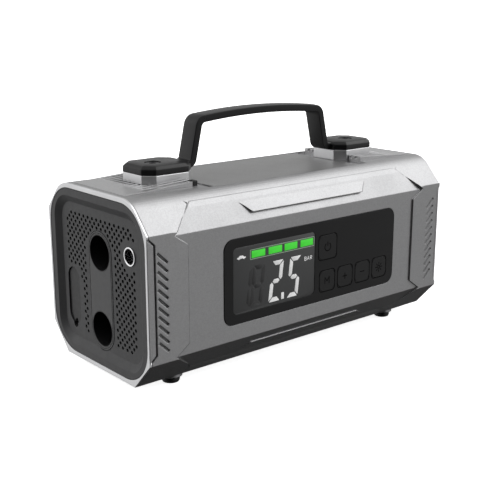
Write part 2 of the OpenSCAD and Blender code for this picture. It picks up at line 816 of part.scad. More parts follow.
module board_screws() {
    color("#9c9c9c") lift() {
        for (p = display_screws) {
            rod_y(2, board_y + board_t, board_y + board_t + 1.3, p[0], p[1]);
            rod_y(1, board_y - 2.6, board_y + board_t + 0.1, p[0], p[1]);
        }
        for (x = [-post_x, post_x], y = [-tray_y - tray_t / 2, tray_y + tray_t / 2]) {
            rod_z(2, main_z + board_t, main_z + board_t + 1.3, x, y);
            rod_z(1, main_z - 5, main_z + board_t + 0.1, x, y);
        }
    }
}

// ---- Handle ----

// Stations round a bend at corner c: the path turns from angle a0 to a1 with radius r.
function bend(c, a0, a1, r, n) =
    let (s = a1 > a0 ? 1 : -1, t = r * tan(abs(a1 - a0) / 2),
         start = c - t * [cos(a0), sin(a0)], mid = start + s * r * [-sin(a0), cos(a0)])
    [for (i = [0 : n]) let (a = a0 + (a1 - a0) * i / n, p = mid - s * r * [-sin(a), cos(a)])
        [p[0], p[1], a]];

// The strap's inner surface from the left flange to the middle of the bar: x, z, direction.
left_path = concat(
    [[-bend_x - 12, flange_z, 0]],
    bend([-bend_x, flange_z], 0, leg_angle, 6, 8),
    bend([-bar_x, bar_z - bar_sag], leg_angle, bar_angle, 3, 8),
    [for (i = [1 : 6]) let (a = bar_angle * (1 - i / 6))
        [-bar_r * sin(a), bar_z - bar_r * (1 - cos(a)), a]]
);
strap_path = concat(left_path, [for (i = [len(left_path) - 2 : -1 : 0])
    [-left_path[i][0], left_path[i][1], -left_path[i][2]]]);
// The strap's section: flat inside, crowned outside. Across, then out from the inner surface.
crown_steps = 8;
strap_section = concat(
    [[-strap_w / 2, 0], [strap_w / 2, 0]],
    [for (j = [0 : crown_steps]) let (u = 1 - 2 * j / crown_steps)
        [u * strap_w / 2, strap_t + strap_crown * (1 - u * u)]]
);

module strap() {
    m = len(strap_section);
    n = len(strap_path);
    points = [for (s = strap_path, q = strap_section)
        [s[0] - q[1] * sin(s[2]), q[0], s[1] + q[1] * cos(s[2])]];
    sides = [for (i = [0 : n - 2], j = [0 : m - 1]) let (k = (j + 1) % m)
        each [[i * m + j, (i + 1) * m + k, i * m + k], [i * m + j, (i + 1) * m + j, (i + 1) * m + k]]];
    first = [for (j = [0 : m - 1]) j];
    last = [for (j = [m - 1 : -1 : 0]) (n - 1) * m + j];
    polyhedron(points, concat(sides, [first, last]));
}

module handle() {
    color("#1a1a1a") lift() difference() {
        union() {
            strap();
            both_x() hull() {
                along_z(flange_z, flange_z + flange_t - 1.9) translate([block_x, 0])
                    octagon(block_hx, block_hy, block_cut);
                along_z(flange_z + flange_t - 0.1, flange_z + flange_t) translate([block_x, 0])
                    octagon(block_hx - 1.9, block_hy - 1.9, block_cut - 0.8);
            }
        }
        both_x() {
            rod_z(2.7, flange_z - 1, flange_z + flange_t + 1, screw_x, 0);
            rod_z(4.9, flange_z + flange_t - 3, flange_z + flange_t + 1, screw_x, 0);
        }
    }
}

module handle_block() {
    color("#c4c4c4") lift() difference() {
        along_z(plate_top_z, flange_z) translate([block_x, 0]) octagon(block_hx, block_hy, block_cut);
        rod_z(2.8, plate_top_z - 1, flange_z + 1, screw_x, 0);
    }
}

module left_handle_block() { mirror([1, 0, 0]) handle_block(); }

module right_handle_block() { handle_block(); }

module handle_screws() {
    top_z = flange_z + flange_t - 0.6;
    color("#3a3a3a") lift() both_x() difference() {
        union() {
            rod_z(4.7, flange_z + flange_t - 3, top_z, screw_x, 0);
            rod_z(2.4, roof_z - 3.2, top_z - 0.5, screw_x, 0);
        }
        translate([screw_x, 0, top_z - 1.6]) cylinder(r = 2.3, h = 3, $fn = 6);
    }
}

// Steel plates under the roof that take the handle screws and bridge the split of the housing.
module handle_anchors() {
    color("#8d9197") lift() both_x() difference() {
        box([screw_x - 14, -12, roof_z - 3.5], [screw_x + 14, 12, roof_z]);
        rod_z(2.45, roof_z - 5, roof_z + 1, screw_x, 0);
    }
}

// ---- Feet and screws ----

module feet() {
    color("#141414") lift() both_x() both_y() difference() {
        rod_z(foot_r, -foot_h, -2, foot_x, foot_y);
        rod_z(1.7, -foot_h - 1, 0, foot_x, foot_y);
        rod_z(3.2, -foot_h - 1, -4, foot_x, foot_y);
    }
}

module foot_screws() {
    color("#9c9c9c") lift() both_x() both_y() {
        rod_z(2.8, -5.6, -4, foot_x, foot_y);
        rod_z(1.4, -4.1, 6, foot_x, foot_y);
    }
}

// Screws that draw the rear half of the housing to the front one.
module body_screws() {
    color("#9c9c9c") lift() {
        for (x = [-body_screw_x, body_screw_x], z = body_screw_zs) difference() {
            union() {
                rod_y(2.8, 33, 35.5, x, z);
                rod_y(1.4, -13, 33.1, x, z);
            }
            translate([x, 36, z]) rotate([90, 0, 0]) cylinder(r = 1.5, h = 1.8, $fn = 6);
        }
        for (x = [pump_x - 14, pump_x + 14]) {
            rod_z(2.6, floor_t + 2, floor_t + 3.8, x, pump_screw_y);
            rod_z(1.3, 1, floor_t + 2.1, x, pump_screw_y);
        }
    }
}

// ---- Battery and boards ----

module at_cells() {
    for (i = [0 : 3], j = [0 : 1]) translate([cell_pitch * (i - 1.5), 0, cell_low_z + j * cell_pitch])
        children();
}

module battery_cells() {
    color("#3d6fa8") lift() at_cells() {
        rod_y(cell_r, -cell_l / 2, cell_l / 2 - 1.5, 0, 0);
        rod_y(4, cell_l / 2 - 2, cell_l / 2, 0, 0);
    }
}

// A plate with a bore for each cell and two posts that carry the main board.
module cell_tray() {
    color("#2c2c2c") lift() difference() {
        union() {
            box([-tray_hx, tray_y, floor_t], [tray_hx, tray_y + tray_t, tray_top_z]);
            both_x() rod_z(2, tray_top_z - 1, main_z, post_x, tray_y + tray_t / 2);
        }
        at_cells() rod_y(cell_r + 0.15, tray_y - 1, tray_y + tray_t + 1, 0, 0);
        both_x() rod_z(1.05, main_z - 5.5, main_z + 1, post_x, tray_y + tray_t / 2);
    }
}

module rear_cell_tray() { cell_tray(); }

module front_cell_tray() { mirror([0, 1, 0]) cell_tray(); }

// Strips that join the cells in series, alternately at the front and at the back.
module bus_bars() {
    top_z = cell_low_z + cell_pitch;
    color("#c2c2c2") lift() {
        for (x = [-cell_pitch, cell_pitch])
            box([x - 18, cell_l / 2, cell_low_z - 5], [x + 18, cell_l / 2 + 0.5, top_z + 5]);
        for (x = [-1.5, 1.5] * cell_pitch)
            box([x - 5, -cell_l / 2 - 0.5, cell_low_z - 5], [x + 5, -cell_l / 2, top_z + 5]);
        box([-18, -cell_l / 2 - 0.5, cell_low_z - 5], [18, -cell_l / 2, top_z + 5]);
    }
}

module main_board() {
    color("#1f5a35") lift() difference() {
        box([-main_hx, -main_hy, main_z], [main_hx, main_hy, main_z + board_t]);
        both_x() both_y() rod_z(1.2, main_z - 1, main_z + 3, post_x, tray_y + tray_t / 2);
    }
}

module power_relay() {
    color("#1a1a1a") lift() box([-38, -8, main_z + board_t], [-8, 16, main_z + board_t + 20]);
}

module capacitors() {
    color("#2f3f66") lift() for (x = [4, 22]) rod_z(7.5, main_z + board_t, main_z + board_t + 24, x, 12);
}

// An aluminium comb for the power transistors.
module heat_sink() {
    z0 = main_z + board_t;
    color("#b4b4b4") lift() {
        box([34, -20, z0], [48, 20, z0 + 2]);
        for (i = [0 : 4]) box([34 + i * 3.1, -20, z0 + 1], [35.6 + i * 3.1, 20, z0 + 18]);
    }
}

// ---- Lamp ----

module lamp_lens() {
    color("#d6e2e8") lift() {
        rod_x(lamp_r, cap_back_x, dish_x + 0.6, 0, lamp_z);
        rod_x(lamp_r + 1.6, cap_back_x - 1.5, cap_back_x, 0, lamp_z);
    }
}

// A cup with a wide mouth behind the lens and a hole for the light source.
module lamp_reflector() {
    x0 = cap_back_x - 11;
    x1 = cap_back_x - 1.5;
    color("#dadada") lift() translate([x0, 0, lamp_z]) rotate([0, 90, 0]) difference() {
        cylinder(r1 = 12, r2 = lamp_r + 1.6, h = x1 - x0);
        translate([0, 0, 1.5]) cylinder(r1 = 9.5, r2 = lamp_r, h = x1 - x0 - 1.49);
        translate([0, 0, -1]) cylinder(r = 5, h = 4);
    }
}

module lamp_board() {
    x0 = cap_back_x - 11;
    color("#f0e9c8") lift() {
        rod_x(11, x0 - 1.5, x0, 0, lamp_z);
        rod_x(4, x0 - 0.2, x0 + 1.2, 0, lamp_z);
    }
}

// ---- Air pump ----

// A spur gear outline. Its first tooth points up, turned by a part of one tooth.
module gear_outline(teeth, turn) {
    tip = gear_module * teeth / 2 + 0.75;
    root = gear_module * teeth / 2 - 0.9;
    step = 360 / teeth;
    corners = [[root, -0.30], [tip, -0.10], [tip, 0.10], [root, 0.30]];
    polygon([for (i = [0 : teeth - 1], c = corners) let (a = step * (i + turn + c[1]))
        [c[0] * sin(a), c[0] * cos(a)]]);
}

module pump_motor() {
    color("#a9a9a9") lift() difference() {
        union() {
            rod_y(motor_r, frame_y + frame_t, 34, pump_x, motor_z);
            rod_y(4, 33, 36, pump_x, motor_z);
        }
        rod_y(1.8, frame_y, 26, pump_x, motor_z);
    }
}

module motor_pinion() {
    color("#c8a24a") lift() {
        along_y(gear_y - 0.5, gear_y + 5) translate([pump_x, motor_z]) gear_outline(pinion_teeth, 0);
        rod_y(1.5, gear_y - 0.5, 24, pump_x, motor_z);
    }
}

module crank_gear() {
    color("#e6e1d2") lift() {
        difference() {
            union() {
                along_y(gear_y, gear_y + 4.5) translate([pump_x, crank_z]) gear_outline(crank_teeth, 0.5);
                rod_y(4.5, gear_y, frame_y - 0.4, pump_x, crank_z);
            }
            rod_y(2.1, gear_y - 1, frame_y + 1, pump_x, crank_z);
        }
        rod_y(1.6, gear_y - 3.4, gear_y + 1, pump_x, crank_z - crank_r);
    }
}

module gear_axle() {
    color("#b0b0b0") lift() {
        rod_y(2, gear_y - 0.2, frame_y + frame_t + 1, pump_x, crank_z);
        rod_y(3.2, gear_y - 1.2, gear_y - 0.2, pump_x, crank_z);
    }
}

// The frame: an upright plate, a foot on the housing floor and a shelf for the cylinder.
module pump_frame() {
    x0 = pump_x - 18;
    x1 = pump_x + 18;
    color("#7c8086") lift() difference() {
        union() {
            box([x0, frame_y, floor_t], [x1, frame_y + frame_t, shelf_z + shelf_t]);
            box([x0, pump_screw_y - 4, floor_t], [x1, frame_y + 1, floor_t + 2]);
            box([x0, cylinder_y - 15, shelf_z], [x1, frame_y + 1, shelf_z + shelf_t]);
        }
        rod_y(3, frame_y - 1, frame_y + frame_t + 1, pump_x, motor_z);
        rod_y(2.05, frame_y - 1, frame_y + frame_t + 1, pump_x, crank_z);
        rod_z(11.5, shelf_z - 1, shelf_z + shelf_t + 1, pump_x, cylinder_y);
        for (x = [pump_x - 14, pump_x + 14]) rod_z(1.5, floor_t - 1, floor_t + 3, x, pump_screw_y);
    }
}

module pump_cylinder() {
    z0 = shelf_z + shelf_t;
    color("#9aa0a6") lift() difference() {
        union() {
            rod_z(pump_bore / 2 + 2, z0, cylinder_top_z, pump_x, cylinder_y);
            for (i = [0 : 4]) rod_z(13.6, z0 + i * 5.2, z0 + 2 + i * 5.2, pump_x, cylinder_y);
        }
        rod_z(pump_bore / 2, z0 - 1, cylinder_top_z + 1, pump_x, cylinder_y);
    }
}

module cylinder_head() {
    color("#8a8f95") lift() difference() {
        union() {
            rod_z(13.6, cylinder_top_z, head_top_z, pump_x, cylinder_y);
            rod_x(1.8, pump_x - 20, pump_x - 13, cylinder_y, port_z);
        }
        rod_x(0.9, pump_x - 21, pump_x - 4, cylinder_y, port_z);
        rod_z(3, cylinder_top_z - 1, cylinder_top_z + 3.5, pump_x - 4, cylinder_y);
    }
}

// The piston with its rod. The eye of the rod stands just in front of the crank pin.
module piston() {
    eye_z = crank_z - crank_r;
    color("#d9d9d9") lift() difference() {
        union() {
            rod_z(pump_bore / 2 - 0.2, piston_z, piston_z + piston_h, pump_x, cylinder_y);
            box([pump_x - 2.5, cylinder_y - 1.8, eye_z], [pump_x + 2.5, cylinder_y + 1.8, piston_z + 1]);
            rod_y(4.5, cylinder_y - 1.8, cylinder_y + 1.8, pump_x, eye_z);
        }
        rod_y(1.9, cylinder_y - 3, cylinder_y + 3, pump_x, eye_z);
    }
}

// The hose from the pump head to the air outlet. Its route runs through four points, and each
// bend is a curve that leaves the straight run bend_reach before the corner.
hose_points = [
    [-dish_x + 16.5, outlet_y, outlet_z], [38, outlet_y, outlet_z],
    [56.5, cylinder_y, port_z], [pump_x - 14, cylinder_y, port_z]
];
hose_sides = 12;
hose_r = 3;
hose_bore_r = 1.9;
bend_reach = 6;
bend_steps = 4;

function unit(v) = v / norm(v);
function hose_bend(a, b, c) =
    let (p = b + bend_reach * unit(a - b), q = b + bend_reach * unit(c - b))
    [for (i = [0 : bend_steps]) let (s = i / bend_steps) (1 - s) * (1 - s) * p + 2 * s * (1 - s) * b + s * s * q];
function ring_at(at, ahead, r) =
    let (side = unit(cross([0, 0, 1], ahead)), up = cross(ahead, side))
    [for (i = [0 : hose_sides - 1]) let (a = 360 * i / hose_sides) at + r * (cos(a) * side + sin(a) * up)];

hose_route = concat([hose_points[0]], hose_bend(hose_points[0], hose_points[1], hose_points[2]),
    hose_bend(hose_points[1], hose_points[2], hose_points[3]), [hose_points[3]]);

function rings(r) = [
    for (i = [0 : len(hose_route) - 1])
        let (from = hose_route[max(i - 1, 0)], to = hose_route[min(i + 1, len(hose_route) - 1)])
            each ring_at(hose_route[i], unit(to - from), r)
];

// Faces between ring i and ring i + 1 of a tube whose points start at first.
function wall(first, i) = [
    for (j = [0 : hose_sides - 1])
        let (a = first + i * hose_sides, k = (j + 1) % hose_sides)
            [a + j, a + k, a + hose_sides + k, a + hose_sides + j]
];
function turned(faces) = [for (f = faces) [f[3], f[2], f[1], f[0]]];

module air_hose() {
    last = len(hose_route) - 1;
    inner = len(hose_route) * hose_sides;
    ends = [
        for (e = [0, last], j = [0 : hose_sides - 1])
            let (k = (j + 1) % hose_sides, a = e * hose_sides, f = [a + k, a + j, inner + a + j, inner + a + k])
                e == 0 ? f : [f[3], f[2], f[1], f[0]]
    ];
    color("#2b2b2b") lift() polyhedron(
        points = concat(rings(hose_r), rings(hose_bore_r / cos(180 / hose_sides))),
        faces = concat([for (i = [0 : last - 1]) each wall(0, i)],
            turned([for (i = [0 : last - 1]) each wall(inner, i)]), ends)
    );
}

front_housing();
rear_housing();
top_plate();
left_rib_pad();
right_rib_pad();
rail_plug();
left_end_ring();
right_end_ring();
left_end_cap();
right_end_cap();
front_end_clip();
rear_end_clip();
socket_plate();
upper_socket();
lower_socket();
centre_contacts();
side_contacts();
air_outlet();
jump_socket();
jump_contacts();
jump_flap();
flap_pin();
display_panel();
lcd_module();
power_key();
mode_key();
plus_key();
minus_key();
lamp_key();
display_board();
key_switches();
board_screws();
handle();
left_handle_block();
right_handle_block();
handle_screws();
handle_anchors();
feet();
foot_screws();
battery_cells();
front_cell_tray();
rear_cell_tray();
bus_bars();
main_board();
power_relay();
capacitors();
heat_sink();
lamp_lens();
lamp_reflector();
lamp_board();
pump_motor();
motor_pinion();
crank_gear();
gear_axle();
pump_frame();
pump_cylinder();
cylinder_head();
piston();
air_hose();
body_screws();
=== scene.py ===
"""Looks of the jump starter pack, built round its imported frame.

The body lies along X with the socket end at -X, the display faces -Y, Z points up and zero is
the surface that the feet stand on. Shapes are worked out in millimetres and stored in metres.
"""
import logging
import math
from dataclasses import dataclass
from enum import Enum
from typing import Sequence

import bmesh
import bpy
import numpy as np
from mathutils import Euler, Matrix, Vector


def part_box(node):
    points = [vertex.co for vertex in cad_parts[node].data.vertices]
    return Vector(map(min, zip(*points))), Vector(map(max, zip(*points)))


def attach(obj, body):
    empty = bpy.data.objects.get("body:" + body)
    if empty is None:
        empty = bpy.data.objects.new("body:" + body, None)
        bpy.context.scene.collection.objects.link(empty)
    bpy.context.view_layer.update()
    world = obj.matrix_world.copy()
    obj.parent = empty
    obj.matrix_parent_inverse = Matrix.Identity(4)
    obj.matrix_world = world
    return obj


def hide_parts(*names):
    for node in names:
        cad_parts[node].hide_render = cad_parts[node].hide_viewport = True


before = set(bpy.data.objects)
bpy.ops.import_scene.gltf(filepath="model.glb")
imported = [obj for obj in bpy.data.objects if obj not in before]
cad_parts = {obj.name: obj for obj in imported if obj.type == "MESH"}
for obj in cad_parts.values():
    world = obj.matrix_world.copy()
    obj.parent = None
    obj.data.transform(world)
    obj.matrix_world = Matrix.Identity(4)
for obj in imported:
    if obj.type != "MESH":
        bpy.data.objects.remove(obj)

MM = 0.001
Colour = tuple[float, float, float]
Array = np.ndarray
log = logging.getLogger("jump_starter")

# How noise and rounded edges are sampled in every material.
NOISE_ROUGHNESS = 0.55
EDGE_SAMPLES = 8
# New surfaces: radius at a pole, merging distance and least divisor.
POLE_R = 0.02
NEW_MERGE_M = 1e-7
TINY = 1e-6
# A stroke's sides are lengthened at a corner by at most 1 / this.
STROKE_LEAST_COS = 0.4
# Copies of frame nodes: merging distance, and the turn in degrees that counts as flat.
NODE_MERGE_M = 2e-6
FLAT_ANGLE = 0.1
# Rounding: share of the room that it may take, the cosine under which two edges leave each other
# at a clear angle, how far a point may lie outside the box, and how many widths away from such a
# point the edges stay sharp.
ROOM_SHARE = 0.4
CLEAR_COS = 0.8
BOX_SLACK = 0.01
STRAY_REACH = 4


class Body(Enum):
    """The bodies of the frame that new pieces ride on."""

    BASE = "base"
    POWER_KEY = "power_key"
    MODE_KEY = "mode_key"
    PLUS_KEY = "plus_key"
    MINUS_KEY = "minus_key"
    LAMP_KEY = "lamp_key"


# ---- Materials ----


class Graph:
    """The node tree of one material, with short calls for the nodes that the finishes share."""

    def __init__(self, name: str) -> None:
        """Starts a material of that name with a plain Principled shader."""
        self.material = bpy.data.materials.new(name)
        self.material.use_nodes = True
        self.tree = self.material.node_tree
        self.shader = self.tree.nodes["Principled BSDF"]
        self.place = self.tree.nodes.new("ShaderNodeTexCoord").outputs["Object"]

    def plain(self, **values: object) -> None:
        """Sets values on the shader's own sockets; underscores stand for spaces."""
        for key, value in values.items():
            self.shader.inputs[key.replace("_", " ")].default_value = value

    def link(self, output: bpy.types.NodeSocket, socket: str) -> None:
        """Links an output to a socket of the shader."""
        self.tree.links.new(output, self.shader.inputs[socket])

    def node(self, kind: str, inputs: dict[str | int, object], **settings: object) -> bpy.types.Node:
        """Adds a node.

        Args:
            kind: the node's type, without its ShaderNode prefix.
            inputs: socket name or number to a value, or to the output that feeds it.
            settings: the node's own properties.

        Returns:
            The new node.
        """
        made = self.tree.nodes.new("ShaderNode" + kind)
        for key, value in settings.items():
            setattr(made, key, value)
        for key, value in inputs.items():
            if isinstance(value, bpy.types.NodeSocket):
                self.tree.links.new(value, made.inputs[key])
            else:
                made.inputs[key].default_value = value
        return made

    def stretched(self, scale: Sequence[float]) -> bpy.types.NodeSocket:
        """The object's own coordinates, stretched along each axis."""
        mapping = self.node("Mapping", {"Vector": self.place, "Scale": tuple(scale)})
        return mapping.outputs["Vector"]

    def noise(
        self, size_mm: float, detail: float = 2.0, stretch: Sequence[float] = (1, 1, 1)
    ) -> bpy.types.NodeSocket:
        """Noise whose blobs are about size_mm across, from 0 to 1."""
        made = self.node("TexNoise", {
            "Vector": self.stretched(stretch), "Scale": 1 / (size_mm * MM), "Detail": detail,
            "Roughness": NOISE_ROUGHNESS,
        })
        return made.outputs["Fac"]

    def cells(self, size_mm: float) -> bpy.types.NodeSocket:
        """A random level for each cell of about size_mm, from 0 to 1."""
        made = self.node("TexVoronoi", {"Vector": self.place, "Scale": 1 / (size_mm * MM)})
        parts = self.node("SeparateColor", {"Color": made.outputs["Color"]})
        return parts.outputs["Red"]

    def span(self, value: bpy.types.NodeSocket, low: float, high: float) -> bpy.types.NodeSocket:
        """Carries a value from the middle half of 0 to 1 to low to high."""
        made = self.node("MapRange", {"Value": value, 1: 0.25, 2: 0.75, 3: low, 4: high})
        return made.outputs["Result"]

    def mix(self, share: bpy.types.NodeSocket, first: Colour, second: Colour) -> bpy.types.NodeSocket:
        """Mixes two colours by a share."""
        made = self.node("Mix", {
            "Factor": share, 6: (*first, 1.0), 7: (*second, 1.0),
        }, data_type="RGBA")
        return made.outputs[2]

    def bump(
        self, height: bpy.types.NodeSocket, depth_mm: float, strength: float, edge_mm: float = 0.3
    ) -> None:
        """Roughens the surface by a height of that depth and rounds its edges by edge_mm."""
        rounded = self.node("Bevel", {"Radius": edge_mm * MM}, samples=EDGE_SAMPLES)
        made = self.node("Bump", {
            "Height": height, "Distance": depth_mm * MM, "Strength": strength,
            "Normal": rounded.outputs["Normal"],
        })
        self.link(made.outputs["Normal"], "Normal")


def shade(colour: Colour, factor: float) -> Colour:
    """A colour made lighter or darker by a factor."""
    return (colour[0] * factor, colour[1] * factor, colour[2] * factor)


@dataclass(frozen=True)
class Finish:
    """One finish of the object, named like its slot in the record."""

    slot: str
    colour: Colour
    roughness: float

    def material(self) -> bpy.types.Material:
        """The finished material."""
        graph = Graph(self.slot)
        graph.plain(Roughness=self.roughness)
        self.draw(graph)
        return graph.material

    def draw(self, graph: Graph) -> None:
        """Draws the finish into the graph."""
        raise NotImplementedError

    def tone(
        self, graph: Graph, share: bpy.types.NodeSocket, low: float, high: float,
        socket: str = "Base Color",
    ) -> None:
        """Varies the colour by a share, from low to high times itself."""
        graph.link(graph.mix(share, shade(self.colour, low), shade(self.colour, high)), socket)

    def gloss(self, graph: Graph, share: bpy.types.NodeSocket, below: float, above: float) -> None:
        """Varies the roughness by a share, from below under its value to above over it."""
        graph.link(graph.span(share, self.roughness - below, self.roughness + above), "Roughness")


@dataclass(frozen=True)
class MetallicPaint(Finish):
    """Sprayed paint with metal flakes under a satin top coat."""

    metallic: float = 0.85
    flake_mm: float = 0.55
    sparkle: float = 0.07
    edge_mm: float = 0.8
    cloud_mm: float = 18.0
    gloss_range: float = 0.03
    peel_flakes: float = 1.4
    peel_depth: float = 0.02
    peel_strength: float = 0.3

    def draw(self, graph: Graph) -> None:
        """Flakes vary the colour, slow noise the gloss; fine noise is the orange peel."""
        self.tone(graph, graph.cells(self.flake_mm), 1 - self.sparkle, 1 + self.sparkle)
        graph.plain(Metallic=self.metallic)
        self.gloss(graph, graph.noise(self.cloud_mm), self.gloss_range, self.gloss_range)
        peel = graph.noise(self.flake_mm * self.peel_flakes, detail=3)
        graph.bump(peel, self.peel_depth, self.peel_strength, self.edge_mm)


@dataclass(frozen=True)
class MouldedPlastic(Finish):
    """Plastic with the fine grain of its mould."""

    grain_mm: float = 0.5
    grain_depth: float = 0.02
    grain_strength: float = 0.6
    specular: float = 0.5
    cloud_mm: float = 22.0
    tone_range: float = 0.1
    patch_mm: float = 3.0
    gloss_range: float = 0.04

    def draw(self, graph: Graph) -> None:
        """Fine noise grains the surface; slow noise varies its tone and gloss."""
        self.tone(graph, graph.noise(self.cloud_mm), 1 - self.tone_range, 1 + self.tone_range)
        self.gloss(graph, graph.noise(self.patch_mm), self.gloss_range, self.gloss_range)
        graph.plain(Specular_IOR_Level=self.specular)
        graph.bump(graph.noise(self.grain_mm, detail=4), self.grain_depth, self.grain_strength)


@dataclass(frozen=True)
class GlossPlastic(Finish):
    """Smooth plastic, with a clear hard coat where coat is over 0."""

    coat: float = 0.0
    coat_roughness: float = 0.12
    specular: float = 0.5
    wipe_mm: float = 14.0
    wipe_stretch: Sequence[float] = (0.4, 1.0, 1.6)
    tone_range: float = 0.12
    smoother: float = 0.04
    duller: float = 0.05
    ripple_mm: float = 0.8
    ripple_depth: float = 0.004
    ripple_strength: float = 0.3

    def draw(self, graph: Graph) -> None:
        """The coat is even; faint wiping marks vary the tone and gloss under it."""
        wipes = graph.noise(self.wipe_mm, detail=3, stretch=self.wipe_stretch)
        self.tone(graph, wipes, 1 - self.tone_range, 1 + self.tone_range)
        self.gloss(graph, wipes, self.smoother, self.duller)
        graph.plain(
            Coat_Weight=self.coat, Coat_Roughness=self.coat_roughness, Specular_IOR_Level=self.specular
        )
        graph.bump(graph.noise(self.ripple_mm), self.ripple_depth, self.ripple_strength)


@dataclass(frozen=True)
class BareMetal(Finish):
    """Metal without paint, brushed or cast."""

    brushed_along: Sequence[float] = (1.0, 1.0, 1.0)
    grain_mm: float = 0.6
    depth_mm: float = 0.006
    line_strength: float = 0.5
    tarnish_mm: float = 12.0
    tarnished: float = 0.88
    clean: float = 1.06
    smoother: float = 0.05
    duller: float = 0.07

    def draw(self, graph: Graph) -> None:
        """Stretched noise is the brushing; slow noise the tarnish."""
        lines = graph.noise(self.grain_mm, detail=3, stretch=self.brushed_along)
        self.tone(graph, graph.noise(self.tarnish_mm), self.tarnished, self.clean)
        self.gloss(graph, lines, self.smoother, self.duller)
        graph.plain(Metallic=1.0)
        graph.bump(lines, self.depth_mm, self.line_strength)


@dataclass(frozen=True)
class BoardLacquer(Finish):
    """Circuit board: copper tracks that show through green lacquer."""

    track_mm: float = 2.2
    gap: float = 0.12
    copper_tones: tuple[float, float] = (1.5, 1.2)
    gap_tone: float = 0.7
    coat: float = 0.4
    relief_mm: float = 0.03
    relief_strength: float = 0.4

    def draw(self, graph: Graph) -> None:
        """A brick pattern stands for the tracks, raised under the lacquer."""
        first, second, between = (
            (*shade(self.colour, tone), 1.0) for tone in (*self.copper_tones, self.gap_tone)
        )
        tracks = graph.node("TexBrick", {
            "Vector": graph.place, "Scale": 1 / (self.track_mm * MM), "Mortar Size": self.gap,
            "Color1": first, "Color2": second, "Mortar": between,
        })
        graph.link(tracks.outputs["Color"], "Base Color")
        graph.plain(Coat_Weight=self.coat)
        graph.bump(tracks.outputs["Fac"], self.relief_mm, self.relief_strength)


@dataclass(frozen=True)
class ClearPlastic(Finish):
    """Clear plastic with a faint stipple."""

    transmission: float = 0.92
    refraction: float = 1.49
    stipple_mm: float = 1.6
    stipple_depth: float = 0.03
    stipple_strength: float = 0.35

    def draw(self, graph: Graph) -> None:
        """Cells stipple the surface and spread the light."""
        graph.plain(
            Base_Color=(*self.colour, 1.0), Transmission_Weight=self.transmission, IOR=self.refraction
        )
        graph.bump(graph.cells(self.stipple_mm), self.stipple_depth, self.stipple_strength)


@dataclass(frozen=True)
class DisplayGlass(Finish):
    """The window of the liquid-crystal display, dark but a little lighter than its panel."""

    # Painted light: how far along X the window runs from its painted lit tone to its painted dim tone,
    # and those two tones.
    slope_mm: float = 70.0
    painted_lit_tone: float = 1.25
    painted_dim_tone: float = 0.8
    weave_mm: float = 0.7
    weave_range: float = 0.04
    coat: float = 0.25
    coat_roughness: float = 0.15
    specular: float = 0.4

    def draw(self, graph: Graph) -> None:
        """Painted light: the base colour is lighter towards -X and falls off along X, as a backlight
        from one side would light it; fine noise is its weave.
        """
        axes = graph.node("SeparateXYZ", {"Vector": graph.place})
        # Painted light: the share along X that carries the base colour from the lit tone to the dim one.
        painted_light_fall = graph.node("MapRange", {
            "Value": axes.outputs["X"], 1: -self.slope_mm * MM, 2: 0.0, 3: 0.0, 4: 1.0,
        }, interpolation_type="SMOOTHSTEP")
        weave = graph.span(graph.noise(self.weave_mm), 1 - self.weave_range, 1 + self.weave_range)
        base = graph.mix(
            painted_light_fall.outputs["Result"], shade(self.colour, self.painted_lit_tone), shade(self.colour, self.painted_dim_tone)
        )
        tone = graph.node("VectorMath", {0: base, "Scale": weave}, operation="SCALE")
        graph.link(tone.outputs["Vector"], "Base Color")
        graph.plain(
            Coat_Weight=self.coat, Coat_Roughness=self.coat_roughness, Specular_IOR_Level=self.specular
        )


@dataclass(frozen=True)
class LitSegment(Finish):
    """A lit or faint segment of the display."""

    glow: float = 0.0
    uneven_mm: float = 2.5
    dim_filter: float = 0.92
    dim_glow: float = 0.94

    def draw(self, graph: Graph) -> None:
        """An even glow over a slightly uneven filter."""
        uneven = graph.noise(self.uneven_mm)
        self.tone(graph, uneven, self.dim_filter, 1.0)
        self.tone(graph, uneven, self.dim_glow, 1.0, "Emission Color")
        graph.plain(Emission_Strength=self.glow)


